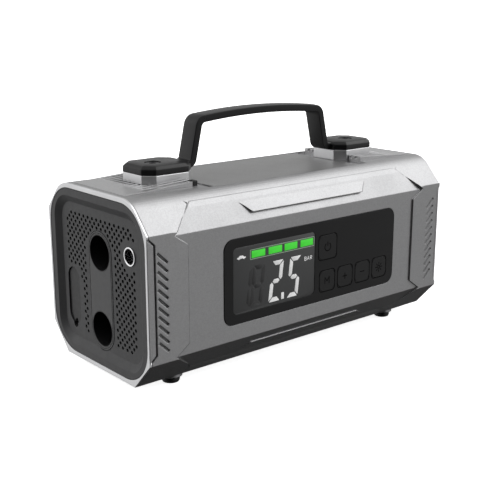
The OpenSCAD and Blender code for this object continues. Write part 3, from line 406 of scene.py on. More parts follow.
FINISHES: tuple[Finish, ...] = (
    MetallicPaint("housing_grey", (0.36, 0.36, 0.365), 0.4),
    MetallicPaint("plate_grey", (0.3, 0.3, 0.3), 0.44, edge_mm=0.3),
    MetallicPaint("pad_grey", (0.46, 0.46, 0.465), 0.34, edge_mm=0.2),
    BareMetal("bright_rim", (0.7, 0.7, 0.71), 0.42),
    MouldedPlastic("cap_plastic", (0.048, 0.048, 0.05), 0.52),
    MouldedPlastic("socket_face", (0.07, 0.07, 0.072), 0.48),
    MouldedPlastic("black_plastic", (0.012, 0.012, 0.013), 0.38),
    MouldedPlastic("flap_plastic", (0.026, 0.026, 0.027), 0.52),
    BareMetal("contact_brass", (0.72, 0.52, 0.22), 0.28),
    BareMetal("steel", (0.56, 0.56, 0.57), 0.3, brushed_along=(1.0, 1.0, 0.15)),
    BareMetal("outlet_chrome", (0.9, 0.9, 0.91), 0.12, depth_mm=0.002),
    GlossPlastic("panel_black", (0.0045, 0.0045, 0.005), 0.45, specular=0.3),
    DisplayGlass("lcd_glass", (0.05, 0.051, 0.052), 0.42),
    GlossPlastic("key_black", (0.0055, 0.0055, 0.006), 0.42, specular=0.34),
    BoardLacquer("board_green", (0.02, 0.12, 0.04), 0.4),
    MouldedPlastic(
        "handle_black", (0.0055, 0.0055, 0.006), 0.38, grain_mm=0.35, grain_depth=0.012, specular=0.3
    ),
    BareMetal("block_silver", (0.72, 0.72, 0.73), 0.36),
    BareMetal("screw_black", (0.03, 0.03, 0.032), 0.35),
    MouldedPlastic("rubber", (0.006, 0.006, 0.006), 0.6, grain_mm=0.8),
    GlossPlastic("cell_wrap", (0.02, 0.1, 0.32), 0.25, coat=0.5),
    MouldedPlastic("tray_plastic", (0.02, 0.02, 0.022), 0.55),
    GlossPlastic("capacitor_sleeve", (0.012, 0.02, 0.08), 0.25, coat=0.5),
    BareMetal("cast_alloy", (0.5, 0.51, 0.53), 0.5, grain_mm=0.9, depth_mm=0.04),
    ClearPlastic("lens_clear", (0.93, 0.96, 0.97), 0.06),
    BareMetal("reflector_silver", (0.88, 0.88, 0.88), 0.1, depth_mm=0.003),
    MouldedPlastic("lamp_white", (0.8, 0.76, 0.55), 0.4),
    MouldedPlastic("gear_nylon", (0.7, 0.66, 0.55), 0.4),
    MouldedPlastic("hose_black", (0.012, 0.012, 0.012), 0.5, grain_mm=1.2),
)
GREEN_LIGHT = LitSegment("green_light", (0.045, 0.6, 0.03), 0.5, glow=0.5)
WHITE_LIGHT = LitSegment("white_light", (0.72, 0.72, 0.72), 0.5, glow=0.42)
PALE_LINE = LitSegment("pale_line", (0.3, 0.42, 0.3), 0.5, glow=0.35)
FAINT_SEGMENT = LitSegment("faint_segment", (0.034, 0.034, 0.035), 0.5)
KEY_PRINT = GlossPlastic("key_print", (0.0006, 0.0006, 0.0006), 0.6, specular=0.06)
FLOOR_WHITE = LitSegment("floor_white", (0.9, 0.9, 0.9), 0.9, glow=1.0)


class Palette:
    """Makes each finish's material once."""

    def __init__(self) -> None:
        """Makes the materials of the record's slots."""
        self.made = {finish.slot: finish.material() for finish in FINISHES}

    def of(self, finish: str | Finish) -> bpy.types.Material:
        """The material of a slot, or of a finish that has no slot of its own."""
        if isinstance(finish, str):
            return self.made[finish]
        if finish.slot not in self.made:
            self.made[finish.slot] = finish.material()
        return self.made[finish.slot]


# ---- Shapes ----


@dataclass
class Shell:
    """A surface: its points in millimetres and its faces."""

    points: Array
    faces: list[list[int]]


def loft(rings: Array, closed: bool = False) -> Shell:
    """Joins rings of points with four-sided faces.

    The point of ring i at place j is row i, column j of the grid, and the last column meets the
    first one. The first and last rings are filled, or joined to each other where it is closed.

    Args:
        rings: points by ring, place and axis.
        closed: whether the last ring meets the first one.

    Returns:
        The surface.
    """
    count, places = rings.shape[:2]
    index = np.arange(count * places).reshape(count, places)
    ends = [] if closed else [index[0, ::-1].tolist(), index[-1].tolist()]
    if closed:
        index = np.concatenate([index, index[:1]])
    index = np.concatenate([index, index[:, :1]], axis=1)
    quads = np.stack([index[:-1, :-1], index[:-1, 1:], index[1:, 1:], index[1:, :-1]], axis=-1)
    return Shell(rings.reshape(-1, 3), quads.reshape(-1, 4).tolist() + ends)


def joined(shells: Sequence[Shell]) -> Shell:
    """Several surfaces as one."""
    starts = np.cumsum([0] + [len(shell.points) for shell in shells])
    faces = [[int(start) + corner for corner in face]
             for start, shell in zip(starts, shells) for face in shell.faces]
    return Shell(np.concatenate([shell.points for shell in shells]), faces)


def rounded_outline(corners: Array, radius: float, steps: int = 4) -> Array:
    """An outline whose corners are arcs.

    Each arc touches both sides of its corner: it starts r / tan(half the corner's angle) before
    the corner, and its points turn evenly about a centre on the corner's bisector.

    Args:
        corners: the corners in order, two numbers each.
        radius: radius of every arc.
        steps: parts of each arc.

    Returns:
        The points of the outline.
    """
    back = np.roll(corners, 1, axis=0) - corners
    ahead = np.roll(corners, -1, axis=0) - corners
    back = back / np.linalg.norm(back, axis=1, keepdims=True)
    ahead = ahead / np.linalg.norm(ahead, axis=1, keepdims=True)
    half = np.arccos(np.clip((back * ahead).sum(1), -1, 1))[:, None] / 2
    inward = (back + ahead) / np.linalg.norm(back + ahead, axis=1, keepdims=True)
    centre = corners + inward * radius / np.sin(half)
    first = corners + back * radius / np.tan(half) - centre
    last = corners + ahead * radius / np.tan(half) - centre
    turn = (math.pi - 2 * half)[:, None]
    share = np.linspace(0, 1, steps + 1)[None, :, None]
    arcs = np.sin((1 - share) * turn) * first[:, None] + np.sin(share * turn) * last[:, None]
    return (centre[:, None] + arcs / np.sin(turn)).reshape(-1, 2)


def rectangle(half_x: float, half_y: float) -> Array:
    """The corners of a rectangle about the origin."""
    return np.array([[half_x, -half_y], [half_x, half_y], [-half_x, half_y], [-half_x, -half_y]])


def revolved(profile: Array, steps: int, centre: Array, closed: bool = False) -> Shell:
    """Turns a profile of (radius, height) about a line along Z through the centre.

    Args:
        profile: radius and height by row.
        steps: places round the axis.
        centre: the point that heights are measured from.
        closed: whether the profile's last row meets its first one.

    Returns:
        The surface.
    """
    angle = np.linspace(0, 2 * math.pi, steps, endpoint=False)[None, :]
    radius, height = profile[:, :1], profile[:, 1:]
    rings = np.stack([radius * np.cos(angle), radius * np.sin(angle), height + 0 * angle], axis=-1)
    return loft(rings + centre, closed)


def raised(outline: Array, face_y: float, height: float, ease: float = 0.0) -> Shell:
    """A flat piece that stands on a face which looks along -Y.

    Its rings are the outline at the face, the outline near the top, and the top ring drawn in
    towards the middle by ease.

    Args:
        outline: points as (X, Z).
        face_y: the face's place.
        height: how far the piece stands out.
        ease: width of the soft edge.

    Returns:
        The surface.
    """
    middle = outline.mean(0)
    reach = np.linalg.norm(outline - middle, axis=1, keepdims=True)
    inner = middle + (outline - middle) * (1 - ease / np.maximum(reach, 2 * ease + TINY))
    levels = ((outline, 0.0), (outline, height - ease / 2), (inner, height))
    return loft(np.stack([standing(ring, face_y - depth) for ring, depth in levels]))


def standing(outline: Array, y: float) -> Array:
    """Points given as (X, Z), at a place along Y."""
    return np.column_stack([outline[:, 0], np.full(len(outline), y), outline[:, 1]])


def stroke(path: Array, width: float, face_y: float, height: float, closed: bool = False) -> Shell:
    """A flat line of even width on a face which looks along -Y.

    A rectangle is carried along the path. At each point its sides lie half a width away, square
    to the mean of the two directions that meet there, and longer by 1 / cos(half the turn).

    Args:
        path: points as (X, Z).
        width: width of the line.
        face_y: the face's place.
        height: how far the line stands out.
        closed: whether the path meets itself.

    Returns:
        The surface.
    """
    steps = np.roll(path, -1, axis=0) - path
    after = steps / np.linalg.norm(steps, axis=1, keepdims=True)
    before = np.roll(after, 1, axis=0)
    if not closed:
        after[-1], before[0] = before[-1], after[0]
    mean = after + before
    mean = mean / np.linalg.norm(mean, axis=1, keepdims=True)
    reach = width / 2 / np.clip((mean * after).sum(1, keepdims=True), STROKE_LEAST_COS, 1)
    side = np.column_stack([-mean[:, 1], mean[:, 0]]) * reach
    section = ((-1, 0.0), (-1, height), (1, height), (1, 0.0))
    sides = [standing(path + hand * side, face_y - depth) for hand, depth in section]
    return loft(np.stack(sides, axis=1), closed)


def arc(
    radius: float, start: float, end: float, steps: int, centre: Sequence[float] = (0.0, 0.0)
) -> Array:
    """Points along an arc, with its angles in degrees."""
    angle = np.radians(np.linspace(start, end, steps + 1))
    return np.column_stack([np.cos(angle), np.sin(angle)]) * radius + np.array(centre)


def corners(node: str) -> tuple[Array, Array]:
    """Lowest and highest corners of a frame node, in millimetres."""
    low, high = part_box(node)
    return np.array(low) / MM, np.array(high) / MM


def on_axis(x: float, low: Array, high: Array) -> Array:
    """The point at x on the line along X through the middle of a box."""
    return np.array([x, (low[1] + high[1]) / 2, (low[2] + high[2]) / 2])


class Workshop:
    """Turns surfaces and frame nodes into finished pieces."""

    def __init__(self) -> None:
        """Makes the materials."""
        self.palette = Palette()

    def finish(
        self, piece: bpy.types.Object, body: Body, slot: str, finish: Finish | None = None
    ) -> None:
        """Gives a piece its material and says what it rides on.

        Args:
            piece: the piece.
            body: the body that carries it.
            slot: the record's slot that it takes its finish from.
            finish: its finish, where that isn't the slot's.
        """
        piece.data.materials.clear()
        piece.data.materials.append(self.palette.of(finish or slot))
        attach(piece, body.value)
        log.info("%s: %d faces on %s", piece.name, len(piece.data.polygons), body.value)

    def shaped(self, name: str, shell: Shell, smooth_angle: float = 35.0) -> bpy.types.Object:
        """A new object from a surface, its faces turned outwards.

        Args:
            name: the object's name.
            shell: its surface.
            smooth_angle: edges sharper than this many degrees stay sharp.

        Returns:
            The object.
        """
        mesh = bpy.data.meshes.new(name)
        mesh.from_pydata((shell.points * MM).tolist(), [], shell.faces)
        cleaned = bmesh.new()
        cleaned.from_mesh(mesh)
        bmesh.ops.remove_doubles(cleaned, verts=cleaned.verts, dist=NEW_MERGE_M)
        bmesh.ops.recalc_face_normals(cleaned, faces=cleaned.faces)
        cleaned.to_mesh(mesh)
        cleaned.free()
        soften(mesh, smooth_angle)
        piece = bpy.data.objects.new(name, mesh)
        bpy.context.scene.collection.objects.link(piece)
        return piece

    def eased(self, node: str, slot: str, width: float, least_angle: float = 24.0) -> bpy.types.Object:
        """A copy of a frame node with its sharp edges rounded, which stands for the node.

        Each sharp edge is rounded by width, or by less where a side next to it is short.

        Args:
            node: the frame node.
            slot: its slot.
            width: width of the rounding.
            least_angle: edges that turn by less than this many degrees stay.

        Returns:
            The copy.
        """
        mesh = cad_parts[node].data.copy()
        mesh.name = node + "_finished"
        merged = bmesh.new()
        merged.from_mesh(mesh)
        bmesh.ops.remove_doubles(merged, verts=merged.verts, dist=NODE_MERGE_M)
        bmesh.ops.dissolve_limit(
            merged, angle_limit=math.radians(FLAT_ANGLE), verts=merged.verts, edges=merged.edges
        )
        bmesh.ops.triangulate(merged, faces=[face for face in merged.faces if len(face.verts) > 4])
        turns = np.array([edge.calc_face_angle(0.0) for edge in merged.edges])
        merged.to_mesh(mesh)
        merged.free()
        weights = ease_weights(mesh, turns > math.radians(least_angle), width)
        mesh.attributes.new("bevel_weight_edge", "FLOAT", "EDGE").data.foreach_set("value", weights)
        mesh.normals_split_custom_set([(0.0, 0.0, 0.0)] * len(mesh.loops))
        soften(mesh, least_angle)
        piece = bpy.data.objects.new(mesh.name, mesh)
        bpy.context.scene.collection.objects.link(piece)
        rounding = piece.modifiers.new("rounding", "BEVEL")
        rounding.width = width * MM
        rounding.segments = 2
        rounding.limit_method = "WEIGHT"
        rounding.use_clamp_overlap = False
        rounding.harden_normals = True
        rounding.miter_outer = "MITER_ARC"
        hold_inside(piece, width)
        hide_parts(node)
        self.finish(piece, Body.BASE, slot)
        return piece

    def dressed(self, slot: str, *nodes: str) -> None:
        """Gives frame nodes the material of a slot."""
        for node in nodes:
            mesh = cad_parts[node].data
            mesh.materials.clear()
            mesh.materials.append(self.palette.of(slot))
            log.info("%s: dressed in %s", node, slot)


def soften(mesh: bpy.types.Mesh, angle: float) -> None:
    """Shades a mesh smooth but for edges sharper than angle, in degrees."""
    mesh.polygons.foreach_set("use_smooth", np.ones(len(mesh.polygons), bool))
    mesh.set_sharp_from_angle(angle=math.radians(angle))
    mesh.update()


def ease_weights(mesh: bpy.types.Mesh, sharp: Array, width: float) -> Array:
    """How much of the full rounding each edge can take, from 0 to 1.

    At each end of an edge, the room is the shortest edge that leaves it at a clear angle, and
    an edge takes at most a fixed share of the room at its tighter end.

    Args:
        mesh: the mesh.
        sharp: whether each edge is sharp.
        width: the full width, in millimetres.

    Returns:
        A weight for each edge, 0 where it isn't sharp.
    """
    ends = ends_of(mesh)
    places = points_of(mesh)
    run = places[ends[:, 1]] - places[ends[:, 0]]
    length = np.linalg.norm(run, axis=1)
    run = run / length[:, None]
    # Every pair of edges that share a vertex, found by sorting the edge ends by vertex.
    owner = np.tile(np.arange(len(ends)), 2)
    vertex = np.concatenate([ends[:, 0], ends[:, 1]])
    order = np.argsort(vertex, kind="stable")
    owner, vertex = owner[order], vertex[order]
    room = np.full(len(ends), np.inf)
    for shift in range(1, int(np.bincount(vertex).max())):
        near = vertex[shift:] == vertex[:-shift]
        a, b = owner[shift:][near], owner[:-shift][near]
        apart = np.abs((run[a] * run[b]).sum(1)) < CLEAR_COS
        np.minimum.at(room, a[apart], length[b[apart]])
        np.minimum.at(room, b[apart], length[a[apart]])
    return np.where(sharp, np.clip(ROOM_SHARE * room / width, 0, 1), 0).astype(np.float32)


def points_of(mesh: bpy.types.Mesh) -> Array:
    """A mesh's points in millimetres."""
    places = np.zeros(len(mesh.vertices) * 3)
    mesh.vertices.foreach_get("co", places)
    return places.reshape(-1, 3) / MM


def ends_of(mesh: bpy.types.Mesh) -> Array:
    """The numbers of the two points of each edge."""
    ends = np.zeros(len(mesh.edges) * 2, np.int32)
    mesh.edges.foreach_get("vertices", ends)
    return ends.reshape(-1, 2)


def hold_inside(piece: bpy.types.Object, width: float) -> None:
    """Takes the rounding off the edges that it would carry out of the piece's own box.

    Args:
        piece: the piece, with a weight for each edge.
        width: the full width of the rounding.
    """
    own = points_of(piece.data)
    low, high = own.min(0) - BOX_SLACK, own.max(0) + BOX_SLACK
    rounded = piece.evaluated_get(bpy.context.evaluated_depsgraph_get())
    points = points_of(rounded.data)
    stray = points[((points < low) | (points > high)).any(1)]
    if not len(stray):
        return
    near = (np.linalg.norm(own[:, None] - stray[None], axis=2) < STRAY_REACH * width).any(1)
    held = near[ends_of(piece.data)].any(1)
    weights = np.zeros(len(piece.data.edges), np.float32)
    layer = piece.data.attributes["bevel_weight_edge"].data
    layer.foreach_get("value", weights)
    layer.foreach_set("value", np.where(held, 0, weights).astype(np.float32))
    piece.data.update()
    log.info("%s: %d points left its box, so the edges there stay sharp", piece.name, len(stray))


# ---- Sub-assemblies ----


@dataclass
class Housing:
    """The two halves of the housing and the tabs of the left end."""

    def build(self, shop: Workshop) -> None:
        """Dresses both halves and the tabs, whose edges the paint rounds."""
        for part in ("housing", "end_clip"):
            shop.dressed("housing_grey", "front_" + part, "rear_" + part)
        shop.dressed("steel", "body_screws")


@dataclass
class TopDeck:
    """Centre plate, ribbed pads and the rubber plug between them."""

    plate_edge: float = 0.3
    plug_edge: float = 0.4

    def build(self, shop: Workshop) -> None:
        """Rounds the plate and the plug; the paint rounds the pads."""
        shop.eased("top_plate", "plate_grey", self.plate_edge)
        shop.dressed("pad_grey", "left_rib_pad", "right_rib_pad")
        shop.eased("rail_plug", "rubber", self.plug_edge)


@dataclass
class SocketEnd:
    """Left end: ring, cap, sockets, air outlet and the flap of the jump-lead outlet."""

    ring_edge: float = 0.3
    outlet_edge: float = 0.45

    def build(self, shop: Workshop) -> None:
        """Rounds the edges of what shows and dresses what lies behind it."""
        shop.eased("left_end_ring", "bright_rim", self.ring_edge)
        shop.eased("air_outlet", "outlet_chrome", self.outlet_edge)
        shop.dressed("cap_plastic", "left_end_cap")
        shop.dressed("socket_face", "socket_plate")
        shop.dressed("flap_plastic", "jump_flap")
        shop.dressed("black_plastic", "upper_socket", "lower_socket", "jump_socket")
        shop.dressed("contact_brass", "centre_contacts", "jump_contacts")
        shop.dressed("steel", "side_contacts", "flap_pin")


class Digit(Enum):
    """Figures of the display as the letters of their lit segments."""

    TWO = "abged"
    FIVE = "afgcd"
    EIGHT = "abcdefg"
    ONE = "bc"


@dataclass
class Display:
    """Panel, liquid-crystal window with its gauge and figures, keys and their marks."""

    step: float = 0.2
    bezel: float = 1.0
    glass_gap: float = 0.15
    window_r: float = 3.0
    glass_t: float = 0.06
    glass_ease: float = 0.04
    film_t: float = 0.05
    film_ease: float = 0.02
    film_r: float = 0.25
    bar_spans: tuple[tuple[float, float], ...] = (
        (-48.8, -38.2), (-35.5, -24.7), (-22.6, -12.1), (-9.4, 1.2)
    )
    bar_low: float = 71.9
    bar_high: float = 76.2
    gauge_edge_x: float = 1.0
    gauge_edge_z: float = 0.7
    gauge_r: float = 0.4
    gauge_line: float = 0.35
    digit_w: float = 9.4
    digit_h: float = 25.4
    digit_t: float = 2.75
    digit_low: float = 41.6
    digit_gap: float = 0.4
    slant: float = 7.0
    one_pitch: float = 1.65
    two_x: float = -35.6
    five_x: float = -20.9
    point_at: tuple[float, float] = (-23.9, 2.3)
    point_half: tuple[float, float] = (1.1, 2.1)
    unit_at: tuple[float, float] = (-5.7, 21.2)
    unit_scale: tuple[float, float] = (1.2, 1.1)
    unit_line: float = 0.38
    car_at: tuple[float, float] = (-56.6, 1.1)
    wheel_r: float = 0.55
    wheel_x: float = 1.9
    mark_w: float = 0.6
    mark_t: float = 0.03
    mark_reach: float = 2.1
    power_r: float = 2.6
    power_top: float = 3.3
    power_foot: float = 0.6
    mode_half: float = 1.9
    mode_dip: float = -0.4
    lamp_r: float = 1.0
    ray_from: float = 1.7
    ray_to: float = 3.4
    key_border: float = 0.7
    key_border_w: float = 0.48
    key_r: float = 2.2

    def __post_init__(self) -> None:
        """Places the glass along Y: it lies on the floor of the panel's step."""
        self.floor_y = corners("display_panel")[0][1] + self.step
        self.glass_y = float(self.floor_y - self.glass_t)

    def build(self, shop: Workshop) -> None:
        """Builds the panel, the window, what it shows, and the keys."""
        shop.dressed("panel_black", "display_panel")
        shop.dressed("key_black", "power_key", "mode_key", "plus_key", "minus_key", "lamp_key")
        shop.dressed("lcd_glass", "lcd_module")
        shop.dressed("board_green", "display_board")
        shop.dressed("black_plastic", "key_switches")
        shop.dressed("steel", "board_screws")
        for part in (self.window, self.gauge, self.figures, self.unit, self.pictogram, self.key_marks):
            part(shop)

    def show(self, shop: Workshop, name: str, shells: Sequence[Shell], light: Finish) -> None:
        """Makes what the glass shows in one finish into one piece."""
        shop.finish(shop.shaped(name, joined(shells)), Body.BASE, "lcd_glass", light)

    def film(self, outline: Array, share: float = 1.0) -> Shell:
        """An outline as a film on the glass, of a share of the full thickness."""
        return raised(outline, self.glass_y, self.film_t * share, self.film_ease * share)

    def window(self, shop: Workshop) -> None:
        """The glass in its step of the panel."""
        low, high = corners("lcd_module")
        middle = (low + high) / 2
        half = (high - low) / 2 - self.bezel - self.glass_gap
        outline = rounded_outline(rectangle(half[0], half[2]), self.window_r - self.glass_gap, 8)
        shell = raised(outline + middle[[0, 2]], self.floor_y, self.glass_t, self.glass_ease)
        shop.finish(shop.shaped("display_window", shell), Body.BASE, "lcd_glass")

    def gauge(self, shop: Workshop) -> None:
        """Four green bars inside a thin frame."""
        middle_z = (self.bar_low + self.bar_high) / 2
        half_z = (self.bar_high - self.bar_low) / 2
        bars = []
        for start, end in self.bar_spans:
            outline = rounded_outline(rectangle((end - start) / 2, half_z), self.film_r)
            bars.append(self.film(outline + [(start + end) / 2, middle_z]))
        self.show(shop, "charge_bars", bars, GREEN_LIGHT)
        start, end = self.bar_spans[0][0], self.bar_spans[-1][1]
        border = rectangle((end - start) / 2 + self.gauge_edge_x, half_z + self.gauge_edge_z)
        border = rounded_outline(border, self.gauge_r) + [(start + end) / 2, middle_z]
        line = stroke(border, self.gauge_line, self.glass_y, self.film_t, closed=True)
        self.show(shop, "gauge_frame", [line], PALE_LINE)

    def segments(self, digit: Digit, left: float) -> list[Array]:
        """Outlines of a figure's segments, slanted.

        Args:
            digit: the figure.
            left: where its cell starts along X at the foot of the figure.

        Returns:
            The outlines as (X, Z).
        """
        w, h, t, g = self.digit_w, self.digit_h, self.digit_t, self.digit_gap
        middle = h / 2
        # Shares of the thickness and the gap set the slanting ends, so that neighbours stay apart.
        top = np.array([[g, h], [w - g, h], [w - t - g / 2, h - t], [t + g / 2, h - t]])
        bar = np.array([
            [t * 0.55 + g, middle], [t + g, middle + t / 2], [w - t - g, middle + t / 2],
            [w - t * 0.55 - g, middle], [w - t - g, middle - t / 2], [t + g, middle - t / 2],
        ])
        side = np.array([
            [0, h - g * 1.5], [t, h - t - g * 1.5], [t, middle + t * 0.62 + g],
            [t * 0.5, middle + g], [0, middle + t * 0.45 + g],
        ])
        flip_x, flip_z = np.array([-1, 1]), np.array([1, -1])
        shapes = {
            "a": top, "d": top * flip_z + [0, h], "g": bar, "f": side, "b": side * flip_x + [w, 0],
            "e": side * flip_z + [0, h], "c": side * np.array([-1, -1]) + [w, h],
        }
        shear = np.array([[1, 0], [math.tan(math.radians(self.slant)), 1]])
        place = [left, self.digit_low]
        return [
            rounded_outline(shapes[letter], self.film_r, 3) @ shear + place for letter in digit.value
        ]

    def figures(self, shop: Workshop) -> None:
        """The lit figures with their point, and the faint ones that are off."""
        point = rounded_outline(rectangle(*self.point_half), self.film_r)
        point = point + self.point_at + [0, self.digit_low]
        lit = self.segments(Digit.TWO, self.two_x) + self.segments(Digit.FIVE, self.five_x) + [point]
        self.show(shop, "display_figures", [self.film(outline) for outline in lit], WHITE_LIGHT)
        pitch = self.five_x - self.two_x
        faint = self.segments(Digit.EIGHT, self.two_x - pitch)
        faint += self.segments(Digit.ONE, self.two_x - self.one_pitch * pitch)
        shells = [self.film(outline, 0.5) for outline in faint]
        self.show(shop, "display_figures_off", shells, FAINT_SEGMENT)

    def unit(self, shop: Workshop) -> None:
        """The pressure unit beside the figures, drawn with plain strokes."""
        letters = (
            [[0, 0], [0, 2], [1, 2], [1.15, 1.6], [1, 1.05], [0, 1.05]],
            [[0, 0], [1.05, 0], [1.25, 0.5], [1, 1.05]],
            [[1.95, 0], [2.6, 2], [3.25, 0]], [[2.2, 0.7], [3.0, 0.7]],
            [[4, 0], [4, 2], [5, 2], [5.15, 1.5], [5, 1], [4, 1]], [[4.5, 1], [5.2, 0]],
        )
        corner = np.array(self.unit_at) + [0, self.digit_low]
        paths = [np.array(path, float) * self.unit_scale + corner for path in letters]
        shells = [stroke(path, self.unit_line, self.glass_y, self.film_t) for path in paths]
        self.show(shop, "unit_mark", shells, WHITE_LIGHT)

    def pictogram(self, shop: Workshop) -> None:
        """A small car beside the gauge."""
        body = np.array([[3.3, 0.0], [3.2, 0.75], [1.9, 0.95], [1.1, 1.75], [-1.2, 1.75], [-2.2, 0.95],
                         [-3.2, 0.7], [-3.3, 0.0]])
        wheels = [
            arc(self.wheel_r, 0, 360, 12, (x, 0.0))[:-1] for x in (-self.wheel_x, self.wheel_x)
        ]
        place = np.array(self.car_at) + [0, self.bar_low]
        shells = [
            raised(part + place, self.glass_y, self.film_t, self.film_ease / 2)
            for part in (body[::-1], *wheels)
        ]
        self.show(shop, "car_mark", shells, WHITE_LIGHT)

    def key_marks(self, shop: Workshop) -> None:
        """The marks of the five keys: power, mode, plus, minus and lamp."""
        reach, half = self.mark_reach, self.mode_half
        ring = arc(self.power_r, 125, 415, 28)
        ends = np.array([self.ray_from, self.ray_to])[:, None]
        rays = [ends * [math.cos(a), math.sin(a)] for a in np.radians(np.arange(0, 360, 45))]
        level = np.array([[-reach, 0], [reach, 0]])
        letter = np.array([[-half, -reach], [-half, reach], [0, self.mode_dip], [half, reach],
                           [half, -reach]])
        marks: dict[Body, list[Array]] = {
            Body.POWER_KEY: [ring, np.array([[0, self.power_foot], [0, self.power_top]])],
            Body.MODE_KEY: [letter],
            Body.PLUS_KEY: [level, level[:, ::-1]],
            Body.MINUS_KEY: [level],
            Body.LAMP_KEY: [*rays, arc(self.lamp_r, 0, 360, 16)[:-1]],
        }
        for key, paths in marks.items():
            low, high = corners(key.value)
            middle = ((low + high) / 2)[[0, 2]]
            half = ((high - low) / 2)[[0, 2]] - self.key_border
            border = rounded_outline(rectangle(*half), self.key_r) + middle
            shells = [
                stroke(path + middle, self.mark_w, low[1], self.mark_t, closed=len(path) == 16)
                for path in paths
            ]
            shells.append(stroke(border, self.key_border_w, low[1], self.mark_t, closed=True))
            shop.finish(shop.shaped(key.value + "_mark", joined(shells)), key, "key_black", KEY_PRINT)


